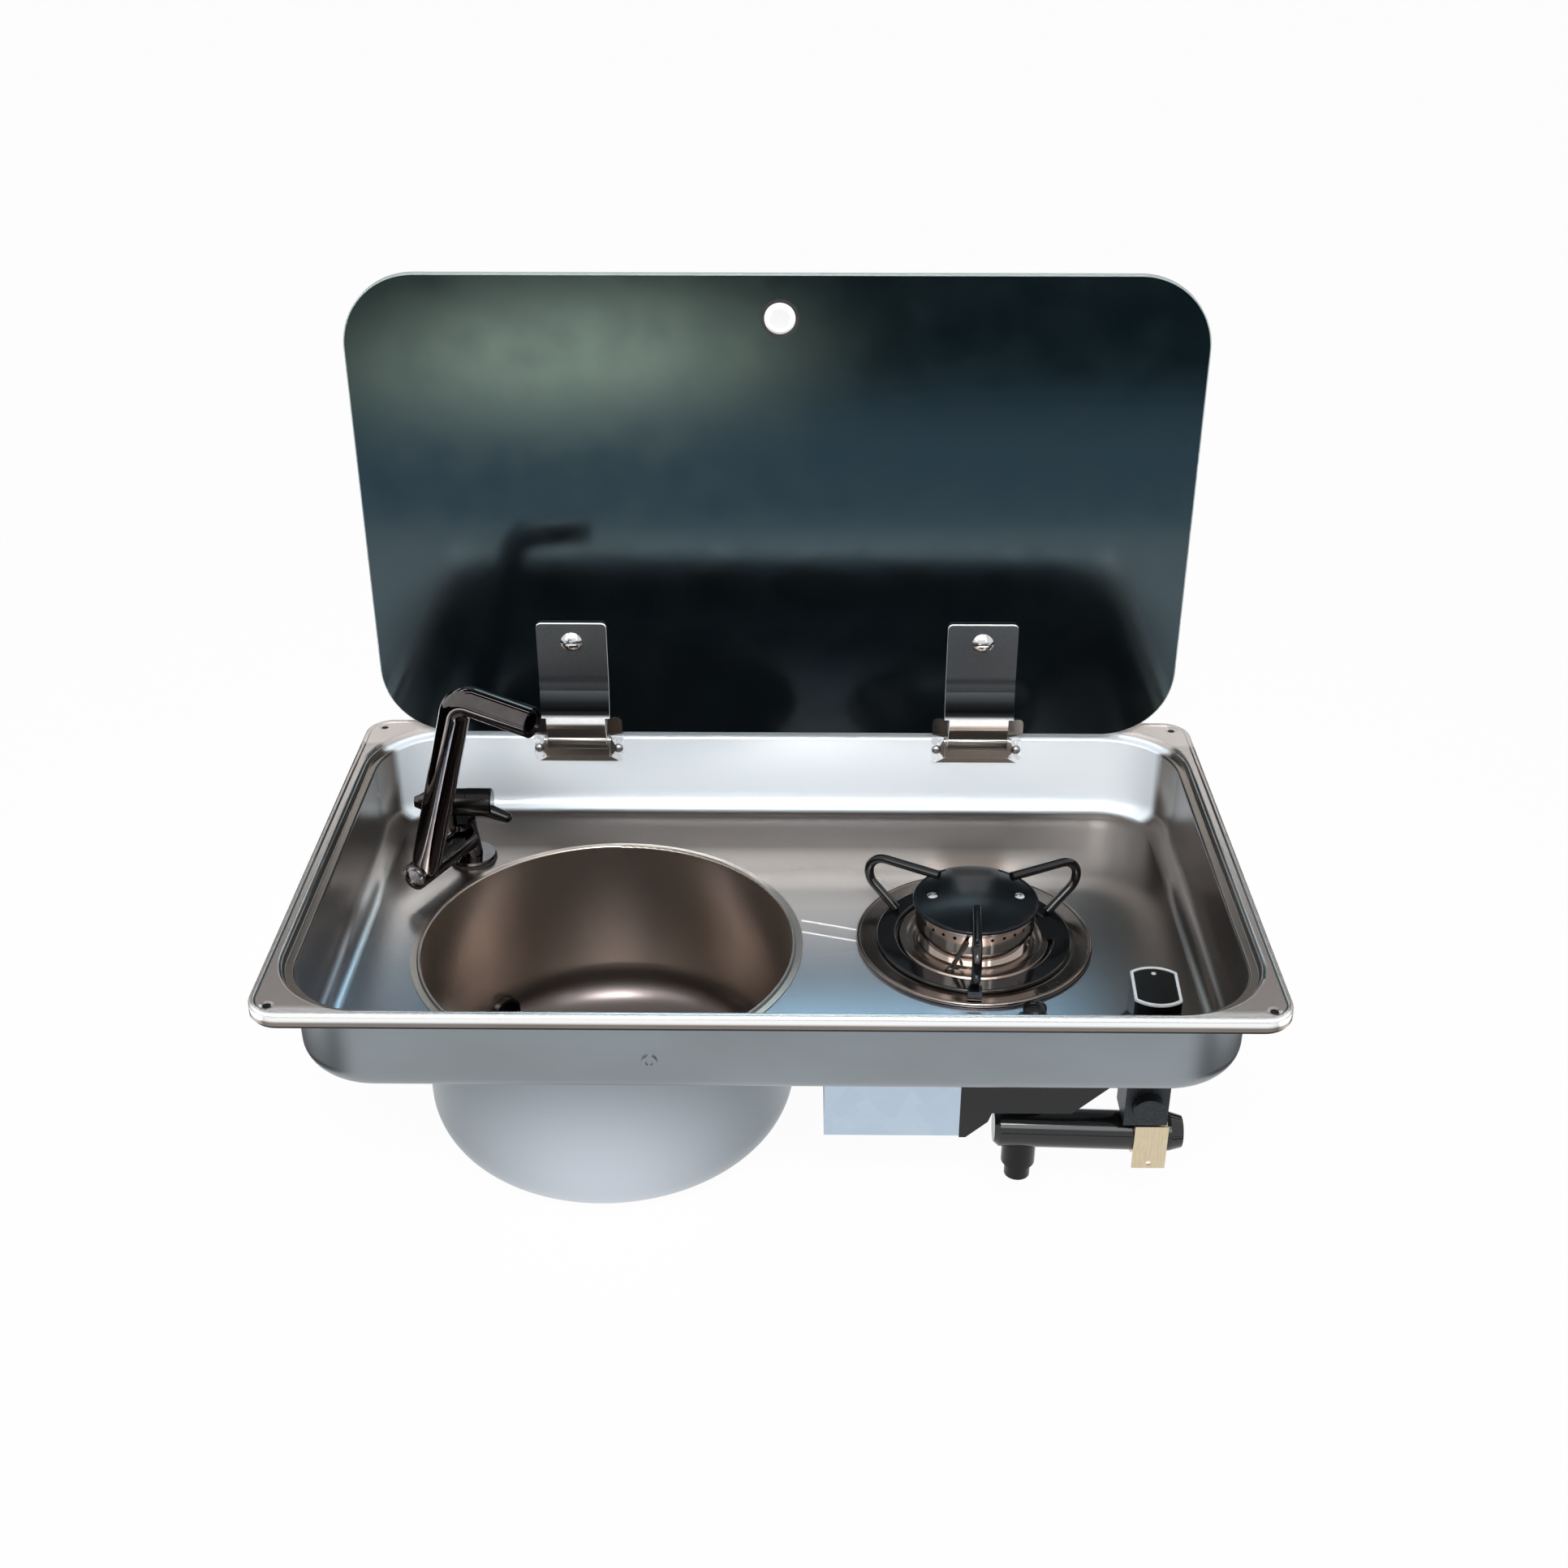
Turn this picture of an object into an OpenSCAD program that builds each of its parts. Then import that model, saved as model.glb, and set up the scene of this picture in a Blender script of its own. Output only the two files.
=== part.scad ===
/* [Tray] */
// Width of the tray over the rim
tray_w = 530; // [515:1:560]
// Depth of the tray, front to back, over the rim
tray_d = 325; // [318:1:345]
// Radius of the rim's outer corners
rim_corner_r = 17; // [14:0.5:18]
// Thickness of the pressed sheet
sheet = 1; // [0.8:0.1:1.2]
// Rim width at the left and right, from the outer edge to the opening
rim_side = 8.5; // [8:0.5:11]
// Rim width at the front and back
rim_front = 7; // [6.8:0.1:9]
// Radius of the opening's corners
opening_r = 50; // [46:1:54]
// Height of the rolled outer edge below the rim
roll_drop = 6.3; // [5:0.1:8]
// Radius of the raised roll along the outer edge
roll_r = 2; // [1.8:0.1:2.4]
// Radius of the soft inner lip
lip_r = 2.5; // [2:0.1:3]
// Width of the ledge that the closed lid lies over
ledge_w = 6; // [5:0.5:7]
// Depth of the ledge below the rim
ledge_z = 5; // [5:0.1:7]
// Depth of the well's floor below the rim
well_depth = 57; // [55:1:70]
// Radius between the well's walls and floor
floor_r = 12; // [8:1:16]
// Distance of the rim's screw holes from the left and right edges
screw_in_x = 11; // [10.5:0.5:12]
// Distance of the rim's screw holes from the front and back edges
screw_in_y = 9.5; // [9:0.5:10.5]
// Diameter of the rim's screw holes
screw_hole_d = 4.5; // [4:0.1:5]
// Thickness of the sealing strip below the rim
seal_t = 7.3; // [6.5:0.1:9]

/* [Bowl] */
// Centre of the bowl, left to right
bowl_x = -97; // [-105:1:-90]
// Centre of the bowl, front to back
bowl_y = -12; // [-14:1:0]
// Inside diameter of the bowl
bowl_d = 216; // [190:1:220]
// Depth of the bowl below the tray's floor
bowl_depth = 117; // [90:1:150]
// Radius between the bowl's wall and bottom
bowl_fillet = 30; // [20:1:40]
// Width of the bowl's flange on the tray
bowl_flange = 6; // [5:0.5:8]
// Outside diameter of the waste spigot
spigot_d = 20; // [18:0.5:25]
// Direction of the waste spigot, anticlockwise from the right
spigot_turn = 137; // [120:1:150]
// Height of the waste spigot's axis above the bowl's bottom
spigot_up = 16; // [15:0.5:24]
// Length of the waste spigot outside its collar
spigot_len = 22; // [15:1:30]

/* [Lid] */
// Gap between the closed glass and the opening's sides
lid_side_gap = 5.5; // [4.5:0.5:12]
// Height of the open glass, less than the opening's depth by
lid_short = 17.5; // [17:0.5:26]
// Thickness of the glass
glass_t = 5; // [4:0.5:5]
// Corner radius of the glass
lid_corner_r = 44; // [30:1:60]
// Front face of the open glass, behind the hinge axis
glass_set = 0.5; // [0.5:0.1:1]
// Height of the lid knob's centre above the rim
lid_knob_z = 268.5; // [250:0.5:275]
// Distance of each hinge from the middle
hinge_x = 128.5; // [110:0.5:160]
// Distance of the hinge axis from the rear wall
pivot_in = 4; // [3.7:0.1:4]
// Hinge axis, height
pivot_z = -5; // [-5:0.1:-4.8]
// Diameter of the hinge pins
hinge_pin_d = 3; // [2.5:0.1:3.2]
// Width of the hinge straps
strap_w = 43.8; // [42:0.2:48]
// Thickness of the hinge straps
strap_t = 2; // [1.5:0.1:2.2]
// Height of the straps' top edge
strap_top = 77.5; // [72:0.5:80]

/* [Burner] */
// Centre of the burner, left to right
burner_x = 117; // [110:1:120]
// Centre of the burner, front to back
burner_y = -5; // [-10:1:5]
// Outside diameter of the spill dish
dish_d = 138; // [134:1:144]
// Diameter of the burner crown
crown_d = 69; // [66:0.5:70]
// Number of flame ports
port_count = 30; // [20:1:36]
// Diameter of the flame ports
port_d = 2; // [1.5:0.1:2.4]
// Diameter of the burner cap
cap_d = 73; // [72:0.5:76]
// Wire diameter of the pan support
wire_d = 5.5; // [5:0.5:6]
// Outer diameter of the pan support's ring
support_ring_d = 114; // [110:1:116]

/* [Gas controls] */
// Centre of the gas knob, left to right
knob_x = 205.5; // [200:0.5:208]
// Centre of the gas knob, front to back
knob_y = -99; // [-102:1:-95]
// Diameter of the gas knob's grip
knob_d = 36; // [32:0.5:37]
// Distance across the grip's flats
knob_flats = 25; // [22:0.5:28]
// Travel of the gas knob when it is pressed
knob_travel = 3.5; // [2:0.1:3.5]
// Diameter of the valve spindle
spindle_d = 8; // [6:0.5:8]
// Centre of the igniter button, left to right
button_x = 143.5; // [140:0.5:150]
// Centre of the igniter button, front to back
button_y = -88; // [-92:1:-84]
// Diameter of the igniter button
button_d = 13; // [10:0.5:14]
// Travel of the igniter button
button_travel = 3; // [2:0.1:3.5]
// Diameter of the gas rail
rail_d = 22; // [20:0.5:24]
// Diameter of the hose tail's stub
hose_tail_d = 14.5; // [12:0.5:16]

/* [Tap] */
// Gap between the bowl's flange and the tap's base seal
tap_gap = 6; // [4:0.5:7]
// Direction of the tap from the bowl, anticlockwise from the right
tap_turn = 134; // [132:0.5:136]
// Height of the tap's valve axis
valve_z = -17; // [-18:0.5:-16]
// Height of the spout's folding axis
fold_z = -40; // [-41:0.5:-38]
// Turn of the spout's folding axis from straight back
fold_turn = 27; // [20:1:32]
// Diameter of the spout's shaft
shaft_d = 11; // [9:0.5:12]
// Outside diameter of the swivel sleeve
sleeve_d = 17; // [16.5:0.5:19]
// Outside diameter of the spout tube
spout_d = 18; // [14:0.5:18]
// Straight length of the spout below its bend
spout_rise = 110.8; // [90:0.2:112]
// Straight length of the spout beyond its bend
spout_reach = 38.8; // [25:0.2:42]
// Radius of the spout's bend, to the tube's axis
spout_bend = 14; // [12:0.5:20]
// Radial clearance of shafts that turn
running_gap = 0.05; // [0.03:0.01:0.08]

/* [Hidden] */
$fn = 72;

seat_gap = 0.1;
pass_gap = 0.6;
floor_top = -well_depth;
floor_under = floor_top - sheet;

// Half sizes of the opening, and the corner centres that its whole section is swept about
open_x = tray_w / 2 - rim_side;
open_y = tray_d / 2 - rim_front;
corner_x = open_x - opening_r;
corner_y = open_y - opening_r;
well_r = opening_r - ledge_w;
wall_y = corner_y + well_r;
lid_w = 2 * (open_x - lid_side_gap);
lid_h = 2 * open_y - lid_short;
pivot_y = wall_y - pivot_in;
lid_y = pivot_y + glass_set;
shoulder_r = 1.5;
dimple_r = screw_hole_d / 2 + 1.6;
rim_lap = 0.4;
floor_lap = 1;
floor_flat = well_r - floor_r;

function polar(r, a) = [r * cos(a), r * sin(a)];

// A flat plate with rounded corners, centred on the origin
module rounded_plate(half_x, half_y, r, height) {
  linear_extrude(height = height) {
    square([2 * half_x, 2 * (half_y - r)], center = true);
    square([2 * (half_x - r), 2 * half_y], center = true);
    for (sx = [-1, 1], sy = [-1, 1])
      translate([sx * (half_x - r), sy * (half_y - r)]) circle(r = r);
  }
}

// A section drawn as [distance from the corner centre, height], swept round four corners
module sweep_round(half_x, half_y) {
  for (k = [0 : 3]) {
    along = (k % 2 == 0) ? half_y : half_x;
    out = (k % 2 == 0) ? half_x : half_y;
    rotate([0, 0, 90 * k]) translate([out, along, 0]) {
      rotate([90, 0, 0]) linear_extrude(height = 2 * along) children();
      rotate_extrude(angle = 90) children();
    }
  }
}

// A quarter of a flat ring, turned to the wanted quadrant
module quarter_ring(inner, outer, quadrant) {
  reach = outer + 1;
  rotate(90 * quadrant) difference() {
    circle(r = outer);
    circle(r = inner);
    translate([-reach, -reach]) square([reach, 2 * reach]);
    translate([-reach, -reach]) square([2 * reach, reach]);
  }
}

// A flat bar from a to b with round ends
module bar(a, b, width) {
  turn = atan2(b.y - a.y, b.x - a.x);
  translate(a) rotate(turn) translate([0, -width / 2]) square([norm(b - a), width]);
  translate(a) circle(d = width);
  translate(b) circle(d = width);
}

// Flat bars along a row of points
module bars(points, width) {
  for (i = [0 : len(points) - 2]) bar(points[i], points[i + 1], width);
}

// A flat strip of even width along a row of points, with mitred corners
module strip(points, width) {
  last = len(points) - 2;
  runs = [for (i = [0 : last]) (points[i + 1] - points[i]) / norm(points[i + 1] - points[i])];
  mitres = [for (i = [0 : last + 1])
    let (both = runs[max(i - 1, 0)] + runs[min(i, last)])
    width * [-both.y, both.x] / (both * both)];
  polygon(concat(
    [for (i = [0 : last + 1]) points[i] + mitres[i]],
    [for (i = [last + 1 : -1 : 0]) points[i] - mitres[i]]));
}

// A rod along X from the origin that bends clockwise: each step is [straight length, turn].
// The straights are a hair slimmer than the bends and lap into them, so that all is one body
module bent_run(steps, bend, d, i = 0) {
  run = steps[i][0];
  turn = steps[i][1];
  slim = 0.06;
  before = i > 0 ? 0.4 : 0;
  after = i < len(steps) - 1 ? 0.4 : 0;
  translate([-before, 0, 0]) rotate([0, 90, 0])
    cylinder(d = d - slim, h = before + run + after);
  if (i < len(steps) - 1)
    translate([run, -bend, 0]) {
      rotate([0, 0, 90]) mirror([0, 1, 0])
        rotate_extrude(angle = turn) translate([bend, 0]) circle(d = d);
      rotate([0, 0, -turn]) translate([0, bend, 0]) bent_run(steps, bend, d, i + 1);
    }
}

// A cylinder along X that starts at the given point
module cylinder_x(from, length, d) {
  translate(from) rotate([0, 90, 0]) cylinder(d = d, h = length);
}

// A cylinder along Y that starts at the given point
module cylinder_y(from, length, d) {
  translate(from) rotate([-90, 0, 0]) cylinder(d = d, h = length);
}

// The pressed tray: rim, ledge, well and the floor's holes
bowl_r = bowl_d / 2;
base_r = 14;
base_seal_r = base_r + 1;
tap_far = bowl_r + bowl_flange + base_seal_r + tap_gap;
tap_x = bowl_x + polar(tap_far, tap_turn).x;
tap_y = bowl_y + polar(tap_far, tap_turn).y;
bowl_hole_r = bowl_r + sheet + pass_gap;
neck_r = 24;
tap_stud_r = 6;
barrel_r = 8;
knob_hole_r = spindle_d / 2 + 1;
electrode_turn = 246;
thermocouple_turn = 60;
probe_r = 40;
rivet_x = -62;
rivet_z = -36;
rivet_shank_r = 2;

module well_section() {
  ledge_out = opening_r - shoulder_r;
  riser_top = lip_r;
  translate([floor_flat - 2 * floor_lap, floor_under]) square([2 * floor_lap, sheet]);
  translate([floor_flat, floor_top + floor_r]) quarter_ring(floor_r, floor_r + sheet, 3);
  translate([well_r, floor_top + floor_r])
    square([sheet, well_depth - floor_r - ledge_z - shoulder_r]);
  translate([well_r + shoulder_r, -ledge_z - shoulder_r])
    quarter_ring(shoulder_r - sheet, shoulder_r, 1);
  translate([well_r + shoulder_r, -ledge_z - sheet])
    square([ledge_w - 2 * shoulder_r, sheet]);
  translate([ledge_out, -ledge_z + shoulder_r])
    quarter_ring(shoulder_r, shoulder_r + sheet, 3);
  translate([opening_r, -ledge_z + shoulder_r])
    square([sheet, ledge_z - shoulder_r - riser_top + 0.001]);
  translate([opening_r + lip_r, -lip_r]) quarter_ring(lip_r - sheet, lip_r, 1);
  translate([opening_r + lip_r, -sheet]) square([rim_lap, sheet]);
}

module roll_section() {
  edge = rim_corner_r;
  translate([edge - roll_r, -roll_r / 2]) difference() {
    circle(r = roll_r);
    circle(r = roll_r - sheet);
    translate([-2 * roll_r, -2 * roll_r]) square([4 * roll_r, 2 * roll_r]);
  }
  translate([edge - sheet, -roll_drop]) square([sheet, roll_drop - roll_r / 2]);
}

module rim_land() {
  inner = lip_r;
  translate([0, 0, -sheet]) difference() {
    rounded_plate(
      tray_w / 2 - 2 * roll_r + sheet, tray_d / 2 - 2 * roll_r + sheet,
      rim_corner_r - 2 * roll_r + sheet, sheet);
    translate([0, 0, -1])
      rounded_plate(open_x + inner, open_y + inner, opening_r + inner, sheet + 2);
  }
}

module at_screws() {
  for (sx = [-1, 1], sy = [-1, 1])
    translate([sx * (tray_w / 2 - screw_in_x), sy * (tray_d / 2 - screw_in_y), 0]) children();
}

// Two pressed beads that lead from the bowl to the dish
module floor_beads() {
  bead_d = 1.4;
  gap_from = bowl_x + bowl_r + 5.3;
  gap_to = burner_x - dish_d / 2 + 0.9;
  for (bead = [[14.6, 4.8], [2.4, -7.3]]) {
    start = [gap_from, bead[0]];
    run = [gap_to, bead[1]] - start;
    translate([start.x, start.y, floor_top]) rotate([0, 0, atan2(run.y, run.x)])
      rotate([0, 90, 0]) cylinder(d = bead_d, h = norm(run));
  }
}

module tray() {
  hole_h = 10;
  color("lightsteelblue") difference() {
    union() {
      sweep_round(corner_x, corner_y) well_section();
      sweep_round(tray_w / 2 - rim_corner_r, tray_d / 2 - rim_corner_r) roll_section();
      rim_land();
      translate([0, 0, floor_under])
        rounded_plate(corner_x + floor_flat - floor_lap, corner_y + floor_flat - floor_lap,
          floor_flat - floor_lap, sheet);
      floor_beads();
    }
    at_screws() {
      translate([0, 0, -hole_h / 2]) cylinder(d = screw_hole_d, h = hole_h);
      translate([0, 0, -sheet / 2]) cylinder(r1 = screw_hole_d / 2, r2 = dimple_r, h = sheet / 2);
      cylinder(r = dimple_r, h = 3);
    }
    translate([0, 0, floor_under - hole_h / 2]) {
      translate([bowl_x, bowl_y, 0]) cylinder(r = bowl_hole_r, h = hole_h);
      translate([burner_x, burner_y, 0]) {
        cylinder(r = neck_r + pass_gap, h = hole_h);
        for (a = [electrode_turn, thermocouple_turn])
          translate(polar(probe_r, a)) cylinder(d = 6, h = hole_h);
      }
      translate([knob_x, knob_y, 0]) cylinder(r = knob_hole_r, h = hole_h);
      translate([button_x, button_y, 0]) cylinder(r = barrel_r + pass_gap, h = hole_h);
      translate([tap_x, tap_y, 0]) cylinder(r = tap_stud_r + pass_gap, h = hole_h);
    }
    cylinder_y([rivet_x, -wall_y - 5, rivet_z], hole_h, 2 * rivet_shank_r + 2 * seat_gap);
  }
}

module rim_seal() {
  inner = lip_r + 0.3;
  outer = sheet + 0.3;
  color("#202020") translate([0, 0, -sheet - seal_t]) difference() {
    rounded_plate(tray_w / 2 - outer, tray_d / 2 - outer, rim_corner_r - outer, seal_t);
    translate([0, 0, -1])
      rounded_plate(open_x + inner, open_y + inner, opening_r + inner, seal_t + 2);
    at_screws() translate([0, 0, -1]) cylinder(d = screw_hole_d + 2 * pass_gap, h = seal_t + 2);
  }
}

// The drawn bowl, hung in the tray's hole by its flange
bowl_bottom = floor_top - bowl_depth;
spigot_z = bowl_bottom + spigot_up;
spigot_start = bowl_r - 5;
collar_end = bowl_r + 5;

module bowl_section(inner) {
  straight = bowl_depth - bowl_fillet;
  knee = bowl_r - bowl_fillet;
  translate([0, bowl_bottom - sheet]) square([knee, sheet]);
  translate([knee, bowl_bottom + bowl_fillet])
    quarter_ring(inner, bowl_fillet + sheet, 3);
  translate([bowl_r, bowl_bottom + bowl_fillet]) square([sheet, straight + sheet]);
}

module bowl() {
  bead_r = 1.1;
  color("lightgray") difference() {
    revolve_at_bowl() {
      bowl_section(bowl_fillet);
      translate([bowl_r + sheet - 0.5, floor_top])
        square([bowl_flange - 0.5, 0.6]);
      translate([bowl_r + bead_r, floor_top + bead_r]) difference() {
        circle(r = bead_r);
        translate([-3, -3 - bead_r + 0.01]) square([6, 3]);
      }
    }
    at_spigot(spigot_start - 5)
      cylinder(d = spigot_d + 2 * seat_gap, h = 20);
  }
}

module revolve_at_bowl() {
  translate([bowl_x, bowl_y, 0]) rotate_extrude($fn = 120) children();
}

// Places children on the spigot's axis, at a distance from the bowl's axis
module at_spigot(r) {
  translate([bowl_x, bowl_y, spigot_z]) rotate([0, 0, spigot_turn])
    translate([r, 0, 0]) rotate([0, 90, 0]) children();
}

module waste_spigot() {
  bore = spigot_d - 4;
  collar_d = spigot_d + 4;
  color("silver") difference() {
    union() {
      at_spigot(spigot_start) cylinder(d = spigot_d, h = collar_end + spigot_len - spigot_start);
      difference() {
        at_spigot(spigot_start) cylinder(d = collar_d, h = collar_end - spigot_start);
        revolve_at_bowl() spigot_relief();
      }
    }
    at_spigot(spigot_start - 1) cylinder(d = bore, h = collar_end + spigot_len);
  }
}

// Everything inside the bowl's outer face, so that the collar seats on that face
module spigot_relief() {
  knee = bowl_r - bowl_fillet;
  skin = sheet + seat_gap;
  translate([0, bowl_bottom - 20]) square([knee, bowl_fillet + 20]);
  translate([knee, bowl_bottom + bowl_fillet]) circle(r = bowl_fillet + skin);
  translate([0, bowl_bottom + bowl_fillet]) square([bowl_r + skin, 40]);
}

module front_wall_rivet() {
  head_r = 4;
  color("gray") difference() {
    union() {
      cylinder_y([rivet_x, -wall_y - sheet - 1.2, rivet_z], 1.2, 2 * head_r);
      cylinder_y([rivet_x, -wall_y - sheet - 0.2, rivet_z], sheet + 1.7, 2 * rivet_shank_r);
    }
    cylinder_y([rivet_x, -wall_y - sheet - 2, rivet_z], 1.6, 2 * rivet_shank_r);
  }
}

// The glass lid stands upright when it is open
strap_screw_z = 65;
strap_hole_d = 6.4;
knob_stem_d = 6;
lid_knob_x = 2;
lid_back = lid_y + glass_t;

module at_hinges() {
  for (side = [-1, 1]) translate([side * hinge_x, 0, 0]) children();
}

module lid_glass() {
  color("#10181c") difference() {
    translate([0, lid_back, lid_h / 2]) rotate([90, 0, 0])
      rounded_plate(lid_w / 2, lid_h / 2, lid_corner_r, glass_t);
    cylinder_y([lid_knob_x, lid_y - 1, lid_knob_z], glass_t + 2, knob_stem_d + 0.6);
    at_hinges() cylinder_y([0, lid_y - 1, strap_screw_z], glass_t + 2, strap_hole_d);
  }
}

washer_t = 0.6;

module lid_knob() {
  foot = lid_back + washer_t;
  color("gainsboro") translate([lid_knob_x, 0, lid_knob_z]) rotate([-90, 0, 0]) {
    translate([0, 0, lid_y - 1.6]) cylinder(d = knob_stem_d, h = foot - lid_y + 1.7);
    rotate_extrude() polygon([
      [0, foot], [8.5, foot], [8.5, foot + 2], [7, foot + 4], [7, foot + 8],
      [11, foot + 11.5], [12, foot + 13], [12, foot + 15], [11, foot + 16], [0, foot + 16]]);
  }
}

module lid_knob_cap() {
  face = lid_y - washer_t;
  color("whitesmoke") difference() {
    translate([lid_knob_x, 0, lid_knob_z]) rotate([90, 0, 0]) rotate_extrude() polygon([
      [0, -face], [9, -face], [9, -face + 0.6], [7.6, -face + 1.8], [6.4, -face + 1.8],
      [5.85, -face + 1.3], [0, -face + 1.3]]);
    cylinder_y([lid_knob_x, face - 1, lid_knob_z], 3, knob_stem_d + 2 * seat_gap);
  }
  color("silver") cylinder_y([lid_knob_x, face - 1.3, lid_knob_z], 0.2, 5);
}

module lid_knob_washers() {
  color("#303030") difference() {
    union() {
      cylinder_y([lid_knob_x, lid_y - washer_t, lid_knob_z], washer_t, 22.4);
      cylinder_y([lid_knob_x, lid_back, lid_knob_z], washer_t, 20);
    }
    cylinder_y([lid_knob_x, lid_y - 2, lid_knob_z], glass_t + 4, knob_stem_d + 2 * seat_gap);
  }
}

// Gooseneck hinge: plate on the glass, strap curved forward, knuckle on the pin
plate_t = 0.8;
strap_mid_y = lid_y - plate_t - strap_t / 2;
panel_w = strap_w - 6.3;
knuckle_r = 3;
bend_y = strap_mid_y - 4.2;
bend_z = 13.5;
ear_t = 1.2;
ear_gap = 0.45;
ear_in = panel_w / 2 + ear_gap;
bracket_t = 0.8;

// Draws a [y, z] outline as a plate across the hinge, centred on it
module across_hinge(width) {
  rotate([90, 0, 90]) translate([0, 0, -width / 2]) linear_extrude(height = width) children();
}

module hinge_strap() {
  crease = [strap_mid_y, 40];
  knee = [bend_y, bend_z];
  eye = [pivot_y, pivot_z];
  screw_slot = strap_hole_d;
  color("silver") difference() {
    union() {
      intersection() {
        across_hinge(strap_w)
          strip([
            [strap_mid_y, strap_top], crease, [strap_mid_y - 0.6, 31.5], [strap_mid_y - 1.8, 25.5],
            [strap_mid_y - 3.1, 19], knee], strap_t);
        translate([0, lid_y, 0]) rotate([90, 0, 0]) linear_extrude(height = 30) {
          translate([-strap_w / 2, 0]) square([strap_w, strap_top - 3]);
          translate([-strap_w / 2 + 3, 0]) square([strap_w - 6, strap_top]);
          for (side = [-1, 1])
            translate([side * (strap_w / 2 - 3), strap_top - 3]) circle(r = 3);
        }
      }
      across_hinge(panel_w) {
        strip([knee + [0.2, 1], knee, [bend_y + 0.9, 6], eye], strap_t - 0.1);
        translate(eye) circle(r = knuckle_r);
      }
    }
    cylinder_x([-strap_w, pivot_y, pivot_z], 2 * strap_w, hinge_pin_d + 2 * running_gap);
    cylinder_y([0, lid_y - 10, strap_screw_z], 12, screw_slot);
  }
}

module hinge_strap_left() { translate([-hinge_x, 0, 0]) hinge_strap(); }
module hinge_strap_right() { translate([hinge_x, 0, 0]) hinge_strap(); }

module clamp_plates() {
  wing_w = 58;
  wing_z = 11;
  color("gainsboro") at_hinges() difference() {
    translate([0, lid_y, 0]) rotate([90, 0, 0]) linear_extrude(height = plate_t) {
      translate([-strap_w / 2 + 1, 0.4]) square([strap_w - 2, strap_top - 2]);
      translate([-wing_w / 2, 0.4]) square([wing_w, wing_z - 3.4]);
      translate([-wing_w / 2 + 3, 0.4]) square([wing_w - 6, wing_z - 0.4]);
      for (side = [-1, 1]) translate([side * (wing_w / 2 - 3), wing_z - 3]) circle(r = 3);
    }
    cylinder_y([0, lid_y - 5, strap_screw_z], 10, strap_hole_d);
  }
}

strap_front = strap_mid_y - strap_t / 2;
strap_screw_d = 6;

module strap_screws() {
  head_r = 6.75;
  dome_r = 10;
  color("silver") at_hinges() translate([0, 0, strap_screw_z]) {
    difference() {
      rotate([90, 0, 0]) translate([0, 0, -strap_front]) intersection() {
        cylinder(r = head_r, h = 4);
        translate([0, 0, 3 - dome_r]) sphere(r = dome_r);
      }
      translate([-3.4, strap_front - 4, -0.8]) cube([6.8, 2, 1.6]);
    }
    cylinder_y([0, strap_front - 0.01, 0], lid_back - strap_front + 4, strap_screw_d);
  }
}

module strap_cap_nuts() {
  color("silver") at_hinges() translate([0, 0, strap_screw_z]) rotate([-90, 0, 0]) difference() {
    translate([0, 0, lid_back]) union() {
      cylinder(r = 7.5, h = 1.2);
      translate([0, 0, 1.2]) cylinder(d = 11.5, h = 4, $fn = 6);
      translate([0, 0, 5.2]) cylinder(r1 = 5, r2 = 3, h = 2);
    }
    translate([0, 0, lid_back - 1]) cylinder(d = strap_screw_d + 2 * seat_gap, h = 5.4);
  }
}

base_w = 58;
base_bottom = -22;
base_front = wall_y - bracket_t;
lug_r = 4.3;
bracket_rivet_x = 25.6;
bracket_rivet_z = -12.6;

module hinge_bracket() {
  apron_y = pivot_y - 3.4;
  color("whitesmoke") difference() {
    union() {
      translate([0, wall_y, 0]) rotate([90, 0, 0]) linear_extrude(height = bracket_t) {
        translate([-base_w / 2, base_bottom + 3]) square([base_w, -ledge_z - base_bottom - 3]);
        translate([-base_w / 2 + 3, base_bottom]) square([base_w - 6, 5]);
        for (side = [-1, 1])
          translate([side * (base_w / 2 - 3), base_bottom + 3]) circle(r = 3);
      }
      translate([-base_w / 2, base_front, -ledge_z])
        cube([base_w, ledge_w - shoulder_r + bracket_t, bracket_t]);
      for (side = [-1, 1]) translate([side * (ear_in + ear_t / 2), 0, 0]) across_hinge(ear_t) {
        translate([pivot_y, pivot_z]) circle(r = lug_r);
        polygon([
          [apron_y, -15], [apron_y, -8], [pivot_y - lug_r, pivot_z],
          [wall_y - bracket_t / 2, pivot_z], [wall_y - bracket_t / 2, -19]]);
      }
      translate([-ear_in - ear_t, apron_y, -15]) cube([2 * (ear_in + ear_t), 1, 5.5]);
    }
    cylinder_x([-base_w, pivot_y, pivot_z], 2 * base_w, hinge_pin_d + 0.06);
    for (side = [-1, 1])
      cylinder_y([side * bracket_rivet_x, base_front - 5, bracket_rivet_z], 10, 4.2);
  }
}

module hinge_bracket_left() { translate([-hinge_x, 0, 0]) hinge_bracket(); }
module hinge_bracket_right() { translate([hinge_x, 0, 0]) hinge_bracket(); }

module hinge_pin() {
  half = ear_in + ear_t;
  color("gray") {
    cylinder_x([-half - 0.8, pivot_y, pivot_z], 2 * half + 1.6, hinge_pin_d);
    for (side = [0, 1]) mirror([side, 0, 0])
      cylinder_x([half + 0.05, pivot_y, pivot_z], 0.9, hinge_pin_d + 2);
  }
}

module hinge_pin_left() { translate([-hinge_x, 0, 0]) hinge_pin(); }
module hinge_pin_right() { translate([hinge_x, 0, 0]) hinge_pin(); }

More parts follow.
